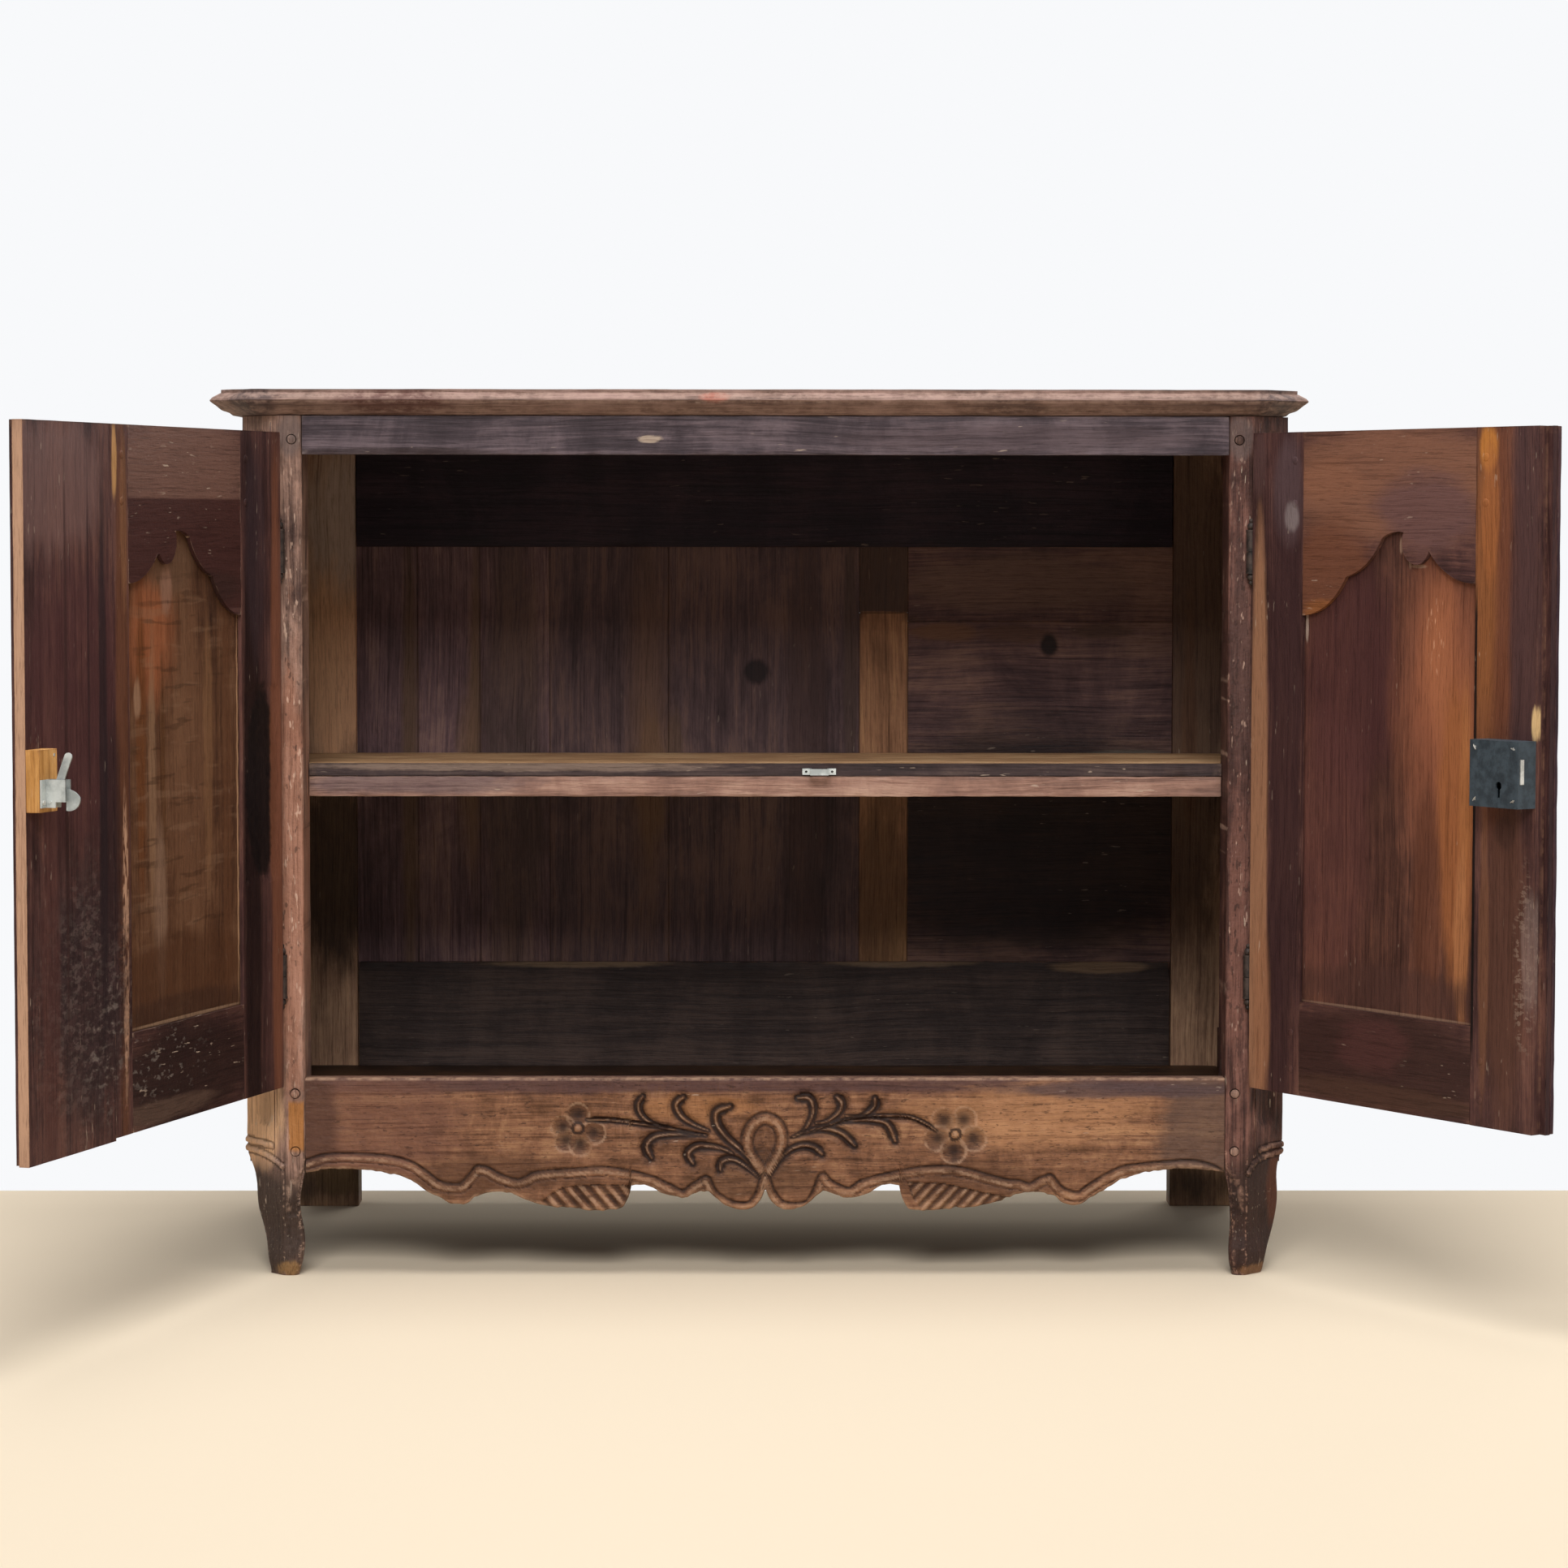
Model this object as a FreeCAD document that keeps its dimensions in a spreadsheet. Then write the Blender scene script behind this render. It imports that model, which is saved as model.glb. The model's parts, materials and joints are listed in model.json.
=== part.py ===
import FreeCAD, Part
import math
import os
import re

# Driving sizes of the cupboard in millimetres, with angles in degrees.
driving = {
    # case
    "cupboard_height": 1050,
    "case_width": 1240,
    "case_depth": 565,
    "front_top_rail": 46,
    "opening_bottom": 236,
    # top
    "top_thick": 31,
    "top_overhang": 29,
    "top_front_overhang": 25,
    "top_drift": 7,
    "top_cant": 48,
    "top_front_depth": 330,
    "nose_height": 18,
    "nose_setback": 13,
    "fillet_height": 4,
    "cove_depth": 26,
    # posts and feet
    "front_post_width": 75,
    "front_post_depth": 75,
    "post_cant": 47,
    "post_round": 4,
    "foot_round": 8,
    "knee_height": 150,
    "back_post_width": 89,
    "back_post_depth": 45,
    # rails and tenons
    "rail_thick": 28,
    "tenon_length": 38,
    "tenon_thick": 10,
    "tenon_set": 9,
    "tenon_shoulder": 8,
    "apron_drop": 160,
    "apron_tenon_drop": 96,
    "side_top_rail": 62,
    "side_bottom_rail": 110,
    "side_rail_bottom": 126,
    "side_panel_thick": 12,
    "panel_groove": 10,
    # back
    "back_top_rail": 157,
    "back_bottom_rail": 150,
    "back_rail_thick": 25,
    "back_rail_set": 8,
    "plank_thick": 12,
    "plank_set": 7,
    "plank_gap": 0.6,
    "plank_a": 79,
    "plank_b": 81,
    "plank_c": 91,
    "plank_d": 155,
    "plank_e": 249,
    "plank_f": 63,
    "split_share": 0.8429,
    "level_low_share": 0.4972,
    "level_high_share": 0.8226,
    # floor
    "floor_height": 186,
    "floor_thick": 15,
    "floor_front_depth": 230,
    "bearer_width": 22,
    "bearer_height": 28,
    # shelf
    "shelf_share": 0.5034,
    "shelf_thick": 15,
    "shelf_front": 56,
    "shelf_play": 1,
    "shelf_fall": 1.5,
    "lipping_depth": 21,
    "batten_height": 25,
    "batten_depth": 24,
    "cleat_width": 24,
    "cleat_play": 10,
    # pegs
    "peg_radius": 6,
    "peg_length": 40,
    "peg_proud": 1.5,
    "peg_set": 12,
    "peg_edge": 18,
    "door_peg_radius": 4,
    # hinges
    "hinge_inset": 26,
    "hinge_gap": 0.6,
    "hinge_high_drop": 113,
    "hinge_low_rise": 122,
    "knuckle_radius": 6,
    "knuckle_length": 23,
    "knuckle_gap": 0.8,
    "pin_radius": 3,
    "pin_length": 38,
    "pin_play": 0.05,
    "leaf_thick": 2,
    "leaf_depth": 30,
    "collar_radius": 6.5,
    "collar_length": 2.5,
    "finial_ball": 5,
    "finial_tip": 3,
    # doors
    "door_top_cover": 26,
    "door_bottom_cover": 8,
    "door_thick": 20,
    "door_gap": 0.8,
    "door_edge": 9,
    "left_opening": 107.7,
    "right_opening": 123.2,
    "meeting_share": 0.1454,
    "meeting_gap": 0.8,
    "left_hinge_stile_share": 0.1944,
    "right_hinge_stile_share": 0.1576,
    "panel_share": 0.5079,
    "left_meeting_stile_share": 0.0718,
    "centre_board_drop": 3,
    "door_bottom_rail": 110,
    "arch_spring_drop": 212,
    "arch_rise": 96.5,
    "door_tenon": 30,
    "door_tenon_thick": 6,
    "door_tongue": 9,
    "door_tongue_thick": 6,
    "door_tongue_set": 5,
    "field_margin": 24,
    "field_set": 2,
    "lip_thick": 7.5,
    "lip_reach": 8,
    "rebate_gap": 0.5,
    "rebate_reach": 9.4,
    "strip_width": 24,
    "strip_thick": 6,
    "loose_tongue": 8,
    "loose_tongue_thick": 5,
    # lock
    "lock_width": 76,
    "lock_height": 73,
    "lock_depth": 26,
    "lock_drop": 22,
    "lock_wall": 1.6,
    "bolt_height": 27,
    "bolt_thick": 5,
    "bolt_length": 52,
    "bolt_set": 3,
    "bolt_proud": 1,
    "bolt_rise": 40,
    "bolt_throw": 12,
    "bolt_play": 0.3,
    "guide_radius": 3,
    "guide_inset": 26,
    "keyhole_inset": 30,
    "keyhole_rise": 24,
    "keyhole_radius": 4.5,
    "keyhole_slot": 4,
    "keyhole_length": 13,
    "key_pin_radius": 1.8,
    "lock_screw_inset": 8,
    "screw_radius": 1.8,
    "screw_head": 3.2,
    "screw_head_height": 1.2,
    "screw_bite": 12,
    "lock_spring_thick": 0.8,
    "plate_height": 58,
    "plate_width": 25,
    "plate_thick": 1.5,
    # catch
    "block_width": 40,
    "block_height": 65,
    "block_drop": 13,
    "block_thick": 16,
    "catch_inset": 1,
    "catch_width": 24,
    "catch_flange": 11,
    "catch_base_height": 29,
    "catch_base_rise": 5,
    "catch_sheet": 1.5,
    "cheek_reach": 23,
    "cheek_height": 23,
    "lug_reach": 12,
    "lug_height": 12,
    "lever_pivot_reach": 6,
    "lever_pivot_rise": 6,
    "lever_thick": 2,
    "lever_pin_radius": 1.5,
    "lever_hub": 4,
    "thumb_width": 8.5,
    "thumb_rise": 46.6,
    "thumb_lean": 17.7,
    "hook_reach": 15.5,
    "hook_drop": 9,
    "nose_reach": 31,
    "nose_lift": 4,
    "nose_crown": 13,
    "catch_clearance": 0.8,
    "catch_spring_radius": 2.8,
    "catch_spring_play": 0.2,
    "strike_width": 22,
    "strike_height": 7.5,
    "strike_sheet": 1.5,
    "strike_ear": 9,
    "strike_drop": 13.5,
    "strike_screw": 1.5,
}

# Places worked out from the driving sizes.
rules = {
    "under_top": "(cupboard_height - top_thick)",
    "opening_top": "(under_top - front_top_rail)",
    "case_half": "(case_width / 2)",
    "opening_half": "(case_width / 2 - front_post_width)",
    "hinge_x": "(case_width / 2 - front_post_width + hinge_inset)",
    "hinge_y": "(knuckle_radius + hinge_gap)",
    "inner_face": "(knuckle_radius + hinge_gap - door_gap)",
    "outer_face": "(inner_face - door_thick)",
    "door_top": "(opening_top + door_top_cover)",
    "door_bottom": "(opening_bottom - door_bottom_cover)",
    "door_height": "(door_top - door_bottom)",
    "arch_spring": "(door_top - arch_spring_drop)",
    "hinge_high": "(opening_top - hinge_high_drop)",
    "hinge_low": "(opening_bottom + hinge_low_rise)",
    "meeting_offset": "(hinge_x * meeting_share)",
    "left_hinge_stile": "(hinge_x * left_hinge_stile_share)",
    "right_hinge_stile": "(hinge_x * right_hinge_stile_share)",
    "panel_width": "(hinge_x * panel_share)",
    "left_meeting_stile": "(hinge_x * left_meeting_stile_share)",
    "left_reach": "(hinge_x + meeting_offset - meeting_gap / 2)",
    "right_reach": "(hinge_x - meeting_offset - meeting_gap / 2)",
    "back_face": "(case_depth - back_post_depth)",
    "back_half": "(case_width / 2 - back_post_width)",
    "rail_inner": "(case_width / 2 - rail_thick)",
    "back_rail_front": "(back_face + back_rail_set)",
    "plank_front": "(back_rail_front + plank_set)",
    "back_top_edge": "(under_top - back_top_rail)",
    "back_low_edge": "(back_bottom_base + back_bottom_rail)",
    "back_bottom_base": "(floor_height - floor_thick)",
    "plank_rise": "(back_top_edge - back_low_edge)",
    "split_height": "(back_low_edge + split_share * plank_rise)",
    "level_joint_low": "(back_low_edge + level_low_share * plank_rise)",
    "level_joint_high": "(back_low_edge + level_high_share * plank_rise)",
    "shelf_top": "(opening_bottom + shelf_share * (opening_top - opening_bottom))",
    "panel_out": "(case_width / 2 - rail_thick / 3 - side_panel_thick)",
    "block_start": "(left_reach - block_width)",
    "block_face": "(inner_face + block_thick)",
    "block_bottom": "(shelf_top - block_drop)",
    "catch_bottom": "(block_bottom + catch_base_rise)",
    "lever_pivot_height": "(catch_bottom + lever_pivot_rise)",
    "strike_bottom": "(shelf_top - strike_drop)",
    "catch_start": "(left_reach - catch_inset - catch_width)",
    "cheek_span": "(catch_width - catch_flange)",
    "lever_pivot": "(block_face + lever_pivot_reach)",
    "lever_start": "(catch_start + cheek_span / 2 - lever_thick / 2)",
    "strike_middle": "(catch_start + cheek_span / 2 - hinge_x)",
    "shelf_depth": "(plank_front - shelf_front - shelf_play)",
    "strike_back": "(lever_pivot + hook_reach - catch_clearance - hinge_y)",
    "lock_start": "(right_reach - lock_width)",
    "lock_bottom": "(shelf_top - lock_drop)",
    "bolt_centre": "(lock_bottom + bolt_rise)",
    "keyhole_height": "(lock_bottom + keyhole_rise)",
    "bolt_back": "(inner_face + lock_depth - bolt_set - bolt_thick)",
}

doc = FreeCAD.newDocument("CourtCupboard")
sheet = doc.addObject("Spreadsheet::Sheet", "Sizes")
for row, (label, number) in enumerate(driving.items(), 1):
    sheet.set(f"A{row}", str(number))
    sheet.setAlias(f"A{row}", label)
# The open cupboard's footprint centre, measured once the pieces stand.
centre_row = len(driving) + 1
for row, label in enumerate(("centre_x", "centre_y"), centre_row):
    sheet.set(f"A{row}", "0")
    sheet.setAlias(f"A{row}", label)
doc.recompute()
cells = set(driving) | {"centre_x", "centre_y"}


def spell(text):
    """The sheet's own names for every size and rule in a formula."""
    def swap(found):
        word = found.group(0)
        if word in rules:
            return spell(rules[word])
        return "Sizes." + word if word in cells else word
    return re.sub(r"[a-z][a-z_]*", swap, text)


def value(text):
    """The number that a formula gives."""
    return float(sheet.evalExpression(spell(text)))


def bind(item, **formulas):
    for prop, text in formulas.items():
        item.setExpression(prop.replace("__", "."), spell(text))
    return item


def seat(item, corner):
    x, y, z = corner
    return bind(item, Placement__Base__x=x, Placement__Base__y=y, Placement__Base__z=z)


def box(name, lengths, corner):
    item = doc.addObject("Part::Box", name)
    bind(item, Length=lengths[0], Width=lengths[1], Height=lengths[2])
    return seat(item, corner)


turns = {
    "x": FreeCAD.Rotation(FreeCAD.Vector(0, 1, 0), 90),
    "y": FreeCAD.Rotation(FreeCAD.Vector(1, 0, 0), -90),
    "z": FreeCAD.Rotation(),
}


def rod(name, radius, length, start, along):
    item = doc.addObject("Part::Cylinder", name)
    item.Placement = FreeCAD.Placement(FreeCAD.Vector(), turns[along])
    bind(item, Radius=radius, Height=length)
    return seat(item, start)


def ball(name, radius, centre):
    item = doc.addObject("Part::Sphere", name)
    bind(item, Radius=radius)
    return seat(item, centre)


def shaped(name, shape):
    item = doc.addObject("Part::Feature", name)
    item.Shape = shape
    return item


def group(name, items):
    item = doc.addObject("Part::Compound", name)
    item.Links = items
    return item


def fuse(name, items):
    item = doc.addObject("Part::MultiFuse", name)
    item.Shapes = items
    return item


def cut(name, base, tools):
    item = doc.addObject("Part::Cut", name)
    item.Base = base
    item.Tool = tools[0] if len(tools) == 1 else group(name + "Tools", tools)
    return item


# Where each group of pieces stands: place, turning axis and angle.
stands = {
    "case": ("-centre_x", "-centre_y", "0", None, None),
    "left_door": ("-hinge_x - centre_x", "-hinge_y - centre_y", "0", (0, 0, 1), "-left_opening"),
    "right_door": ("hinge_x - centre_x", "-hinge_y - centre_y", "0", (0, 0, 1), "right_opening"),
    "shelf": ("-centre_x", "shelf_front - centre_y", "shelf_top", (1, 0, 0), "-shelf_fall"),
}
pieces = {}


def piece(node, stand, items):
    """One sub-part: its own label, and the placement of the group that it stands in."""
    if isinstance(items, list) or items.TypeId in ("Part::Box", "Part::Cylinder"):
        items = group(node, items if isinstance(items, list) else [items])
    x, y, z, axis, angle = stands[stand]
    if axis:
        items.Placement = FreeCAD.Placement(FreeCAD.Vector(), FreeCAD.Rotation(FreeCAD.Vector(*axis), 1))
        bind(items, Placement__Rotation__Angle=angle)
    seat(items, (x, y, z))
    items.Label = node
    pieces[node] = items
    return items


def rounded(points, radius):
    """A closed outline through points, each corner an arc of the given radius."""
    bends = []
    for before, here, after in zip(points[-1:] + points[:-1], points, points[1:] + points[:1]):
        back = (before - here).normalize()
        ahead = (after - here).normalize()
        half = math.acos(max(-1, min(1, back.dot(ahead)))) / 2
        run = radius / math.tan(half)
        middle = (back + ahead).normalize() * (radius / math.sin(half) - radius)
        bends.append((here + back * run, here + middle, here + ahead * run))
    edges = []
    for bend, following in zip(bends, bends[1:] + bends[:1]):
        edges.append(Part.Arc(*bend).toShape())
        edges.append(Part.LineSegment(bend[2], following[0]).toShape())
    return Part.Wire(edges)


def arcs(start, legs, place):
    """Edges from start through (middle, end) pairs of shares, each pair one arc."""
    edges = []
    here = place(*start)
    for middle, end in legs:
        there = place(*end)
        edges.append(Part.Arc(here, place(*middle), there).toShape())
        here = there
    return edges


# Pegs that lock the front joints. The lower ones stand a little proud.
sides = (("left", -1), ("right", 1))


def outward(side, start, width):
    """The low x of a box that lies from start to start plus width away from the middle."""
    return f"({start})" if side > 0 else f"-({start}) - ({width})"


def at(side, place):
    return f"({place})" if side > 0 else f"-({place})"


front_pegs = {"left": [], "right": []}
for name, side in sides:
    for height, proud in (("opening_bottom - peg_edge", "peg_proud"),
                          ("opening_bottom - apron_tenon_drop + peg_edge / 2", "peg_proud"),
                          ("opening_top + peg_edge", "0")):
        front_pegs[name].append(rod("FrontPeg", "peg_radius", f"peg_length + {proud}",
                                    (at(side, "opening_half + peg_set"), f"-{proud}", height), "y"))
piece("front_pegs", "case", front_pegs["left"] + front_pegs["right"])


# Tenons of the front rails, apron, side rails and back rails.
def front_tenon(side, low, high):
    return box("FrontTenon", ("tenon_length", "tenon_thick", f"({high}) - ({low})"),
               (outward(side, "opening_half", "tenon_length"), "tenon_set", low))


def side_tenon(side, front, low, high):
    start = "front_post_depth - tenon_length" if front else "back_face"
    return box("SideTenon", ("tenon_thick", "tenon_length * 0.9", f"({high}) - ({low})"),
               (outward(side, "case_half - tenon_set - tenon_thick", "tenon_thick"),
                "front_post_depth - tenon_length * 0.9" if front else start, low))


def back_tenon(side, low, high):
    return box("BackTenon", ("tenon_length", "tenon_thick", f"({high}) - ({low})"),
               (outward(side, "back_half", "tenon_length"), "back_rail_front + tenon_shoulder", low))


apron_low = "opening_bottom - apron_tenon_drop"
side_low = "side_rail_bottom + tenon_shoulder"
side_high = "side_rail_bottom + side_bottom_rail - tenon_shoulder"
side_top_low = "under_top - side_top_rail + tenon_shoulder"
back_low = "back_bottom_base + tenon_shoulder"
tenons = {}
for name, side in sides:
    tenons[name] = {
        "top": front_tenon(side, "opening_top + tenon_shoulder", "under_top - tenon_shoulder"),
        "apron": front_tenon(side, apron_low, "opening_bottom - tenon_shoulder"),
        "back_top": back_tenon(side, "back_top_edge + tenon_shoulder", "under_top - tenon_shoulder"),
        "back_low": back_tenon(side, back_low, "back_low_edge - tenon_shoulder"),
    }
    for end, front in (("front", True), ("back", False)):
        tenons[name]["side_top_" + end] = side_tenon(side, front, side_top_low, "under_top - tenon_shoulder")
        tenons[name]["side_low_" + end] = side_tenon(side, front, side_low, side_high)

# Hinges: each has a lower knuckle let into the post and an upper one let into the door.
hinge_levels = ("hinge_low", "hinge_high")


def finial(x, y, base, up):
    """The collar, ball and tip turned on the free end of a knuckle."""
    sign = "" if up else "-"
    collar = base if up else f"{base} - collar_length"
    return [
        rod("Collar", "collar_radius", "collar_length", (x, y, collar), "z"),
        ball("FinialBall", "finial_ball", (x, y, f"{base} + {sign}(collar_length + finial_ball * 0.8)")),
        ball("FinialTip", "finial_tip",
             (x, y, f"{base} + {sign}(collar_length + finial_ball * 1.6 + finial_tip * 0.8)")),
    ]


def knuckle(x, y, level, up, leaf, pin):
    low = f"{level} + knuckle_gap / 2" if up else f"{level} - knuckle_gap / 2 - knuckle_length"
    free = f"{level} + knuckle_gap / 2 + knuckle_length" if up else low
    barrel = rod("Barrel", "knuckle_radius", "knuckle_length", (x, y, low), "z")
    solid = fuse("Knuckle", [barrel, leaf] + finial(x, y, free, up))
    return cut("BoredKnuckle", solid, [pin])


def hinge_pin(x, y, level, play):
    return rod("HingePin", f"pin_radius + {play}", f"pin_length + {play}",
               (x, y, f"{level} - pin_length / 2"), "z")


post_leaves = {"left": [], "right": []}
lower = []
pins = []
for name, side in sides:
    x = at(side, "hinge_x")
    y = "-hinge_y"
    for level in hinge_levels:
        leaf = box("PostLeaf", ("leaf_thick", "leaf_depth", "knuckle_length"),
                   (f"{x} - leaf_thick / 2", y, f"{level} - knuckle_gap / 2 - knuckle_length"))
        post_leaves[name].append(leaf)
        pin = hinge_pin(x, y, level, "0")
        pins.append(pin)
        lower.append(knuckle(x, y, level, False, leaf, pin))
piece("hinge_post_leaves", "case", lower)
piece("hinge_pins", "case", pins)

# Front posts: canted outer corner, and an S-shaped foot carved from the same timber.
# Each row: height, then how far the outer, inner, inner back, front and back faces draw in.
# The two feet are not alike: the right one is slimmer.
foot_shares = {
    "left": (
        (0.000, 0.400, 0.110, 0.240, 0.060, 0.230),
        (0.080, 0.385, 0.060, 0.190, 0.010, 0.230),
        (0.260, 0.333, 0.010, 0.130, 0.040, 0.240),
        (0.380, 0.267, 0.030, 0.160, 0.060, 0.220),
        (0.500, 0.195, 0.070, 0.200, 0.030, 0.180),
        (0.640, 0.172, 0.075, 0.190, 0.000, 0.120),
        (0.820, 0.120, 0.020, 0.080, 0.000, 0.050),
        (0.880, 0.070, 0.012, 0.050, 0.000, 0.035),
        (0.940, 0.020, 0.004, 0.020, 0.000, 0.018),
    ),
    "right": (
        (0.000, 0.360, 0.130, 0.240, 0.060, 0.230),
        (0.080, 0.315, 0.090, 0.200, 0.010, 0.230),
        (0.290, 0.193, 0.080, 0.180, 0.040, 0.240),
        (0.380, 0.135, 0.090, 0.200, 0.060, 0.220),
        (0.500, 0.095, 0.090, 0.200, 0.030, 0.180),
        (0.640, 0.088, 0.070, 0.180, 0.000, 0.120),
        (0.820, 0.090, 0.020, 0.080, 0.000, 0.050),
        (0.880, 0.065, 0.012, 0.050, 0.000, 0.035),
        (0.940, 0.020, 0.004, 0.020, 0.000, 0.018),
    ),
}


def post_outline(side, height, draws, radius):
    half, width, depth = value("case_half"), value("front_post_width"), value("front_post_depth")
    out, inner, inner_back, front, back = draws
    cant = value("post_cant") * (1 - out * 3 / 2)
    far, near = half - out * width, half - width + inner * width
    fore, rear = front * depth, depth - back * depth
    corners = ((far, rear), (far, fore + cant), (far - cant, fore), (near, fore),
               (half - width + inner_back * width, rear))
    return rounded([FreeCAD.Vector(side * x, y, height) for x, y in corners], radius)


def front_post(side, shares):
    knee, top = value("knee_height"), value("under_top")
    corner, toe = value("post_round"), value("foot_round")
    collar = post_outline(side, knee, (0, 0, 0, 0, 0), corner)
    shaft = Part.Face(collar).extrude(FreeCAD.Vector(0, 0, top - knee))
    rings = []
    for height, *draws in shares:
        rings.append(post_outline(side, height * knee, draws, toe + (corner - toe) * height))
    half, width, depth = value("case_half"), value("front_post_width"), value("front_post_depth")
    low_x = half - width if side > 0 else -half
    envelope = Part.makeBox(width, depth, knee, FreeCAD.Vector(low_x, 0, 0))
    foot = Part.makeLoft(rings + [collar], True, False).common(envelope)
    return shaft.fuse(foot).removeSplitter()


for name, side in sides:
    blank = shaped("FrontPostBlank", front_post(side, foot_shares[name]))
    tools = [tenons[name]["top"], tenons[name]["apron"],
             tenons[name]["side_top_front"], tenons[name]["side_low_front"]]
    panel_slot = box("PanelSlot", ("side_panel_thick", "panel_groove",
                                   "under_top - side_top_rail - side_rail_bottom - side_bottom_rail"),
                     (outward(side, "panel_out", "side_panel_thick"), "front_post_depth - panel_groove",
                      "side_rail_bottom + side_bottom_rail"))
    tools += [panel_slot] + front_pegs[name] + post_leaves[name]
    piece(f"front_{name}_post", "case", cut("FrontPost", blank, tools))

# Back: posts, two rails, and planks held in grooves.
planks = {}
upright_base = "back_low_edge - panel_groove"
upright_height = "back_top_edge - back_low_edge + 2 * panel_groove"
start = "-back_half"
widths = (("back_plank_a", "plank_a"), ("back_plank_b", "plank_b"), ("back_plank_c", "plank_c"),
          ("back_plank_d", "plank_d"), ("back_plank_e", "plank_e"))
for node, width in widths:
    lap = "panel_groove" if node == "back_plank_a" else "0"
    planks[node] = box(node, (f"{width} + {lap} - plank_gap", "plank_thick", upright_height),
                       (f"{start} - {lap}", "plank_front", upright_base))
    start = f"{start} + {width}"
planks["back_patch_low"] = box("back_patch_low", ("plank_f - plank_gap", "plank_thick",
                                                  f"split_height - plank_gap - ({upright_base})"),
                               (start, "plank_front", upright_base))
planks["back_patch_high"] = box("back_patch_high", ("plank_f - plank_gap", "plank_thick",
                                                    "back_top_edge + panel_groove - split_height"),
                                (start, "plank_front", "split_height"))
start = f"{start} + plank_f"
level_boards = {
    "back_board_low": (upright_base, "level_joint_low - plank_gap"),
    "back_board_middle": ("level_joint_low", "level_joint_high - plank_gap"),
    "back_board_high": ("level_joint_high", "back_top_edge + panel_groove"),
}
for node, (low, high) in level_boards.items():
    planks[node] = box(node, (f"back_half + panel_groove - ({start})", "plank_thick",
                              f"({high}) - ({low})"), (start, "plank_front", low))
piece("back_narrow_planks", "case", [planks[node] for node in ("back_plank_a", "back_plank_b", "back_plank_c")])
piece("back_wide_planks", "case", [planks["back_plank_d"], planks["back_plank_e"]])
piece("back_split_plank", "case", [planks["back_patch_low"], planks["back_patch_high"]])
piece("back_level_boards", "case", [planks[node] for node in level_boards])
plank_groove = box("PlankGroove", ("2 * (back_half + panel_groove)", "plank_thick", upright_height),
                   ("-back_half - panel_groove", "plank_front", upright_base))
for node, low, height, key in (("back_top_rail", "back_top_edge", "back_top_rail", "back_top"),
                               ("back_bottom_rail", "back_bottom_base", "back_bottom_rail", "back_low")):
    bar = box("BackRail", ("2 * back_half", "back_rail_thick", height), ("-back_half", "back_rail_front", low))
    rail = fuse("TenonedBackRail", [bar, tenons["left"][key], tenons["right"][key]])
    piece(node, "case", cut("GroovedBackRail", rail, [plank_groove]))
for name, side in sides:
    blank = box("BackPostBlank", ("back_post_width", "back_post_depth", "under_top"),
                (outward(side, "back_half", "back_post_width"), "back_face", "0"))
    panel_slot = box("PanelSlot", ("side_panel_thick", "panel_groove",
                                   "under_top - side_top_rail - side_rail_bottom - side_bottom_rail"),
                     (outward(side, "panel_out", "side_panel_thick"), "back_face",
                      "side_rail_bottom + side_bottom_rail"))
    tools = [plank_groove, panel_slot, tenons[name]["back_top"], tenons[name]["back_low"],
             tenons[name]["side_top_back"], tenons[name]["side_low_back"]]
    piece(f"back_{name}_post", "case", cut("BackPost", blank, tools))

# Sides: rails between the posts and a panel in their grooves.
side_run = "back_face - front_post_depth"
side_rails = {"side_top_rails": [], "side_bottom_rails": []}
for name, side in sides:
    slab = box("SidePanel", ("side_panel_thick", f"{side_run} + 2 * panel_groove",
                             "under_top - side_top_rail - side_rail_bottom - side_bottom_rail"
                             " + 2 * panel_groove"),
               (outward(side, "panel_out", "side_panel_thick"), "front_post_depth - panel_groove",
                "side_rail_bottom + side_bottom_rail - panel_groove"))
    for node, low, height, key in (
            ("side_top_rails", "under_top - side_top_rail", "side_top_rail", "side_top"),
            ("side_bottom_rails", "side_rail_bottom", "side_bottom_rail", "side_low")):
        bar = box("SideRail", ("rail_thick", side_run, height),
                  (outward(side, "case_half - rail_thick", "rail_thick"), "front_post_depth", low))
        rail = fuse("TenonedSideRail", [bar, tenons[name][key + "_front"], tenons[name][key + "_back"]])
        strip = "side_rail_bottom + side_bottom_rail - panel_groove" if key == "side_low" \
            else "under_top - side_top_rail"
        groove = box("RailGroove", ("side_panel_thick", side_run, "panel_groove"),
                     (outward(side, "panel_out", "side_panel_thick"), "front_post_depth", strip))
        side_rails[node].append(cut("GroovedSideRail", rail, [groove]))
    notches = []
    for y in ("front_post_depth - panel_groove", "back_face"):
        for z in ("side_rail_bottom + side_bottom_rail - panel_groove", "under_top - side_top_rail"):
            notches.append(box("PanelNotch", ("side_panel_thick", "panel_groove", "panel_groove"),
                               (outward(side, "panel_out", "side_panel_thick"), y, z)))
    piece(f"{name}_side_panel", "case", cut("NotchedPanel", slab, notches))
for node, rails in side_rails.items():
    piece(node, "case", rails)

# Front top rail and the carved apron with its scalloped lower edge.
bar = box("TopRail", ("2 * opening_half", "rail_thick", "under_top - opening_top"),
          ("-opening_half", "0", "opening_top"))
rail = fuse("TenonedTopRail", [bar, tenons["left"]["top"], tenons["right"]["top"]])
top_pegs = [front_pegs["left"][2], front_pegs["right"][2]]
piece("front_top_rail", "case", cut("PeggedTopRail", rail, top_pegs))

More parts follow.
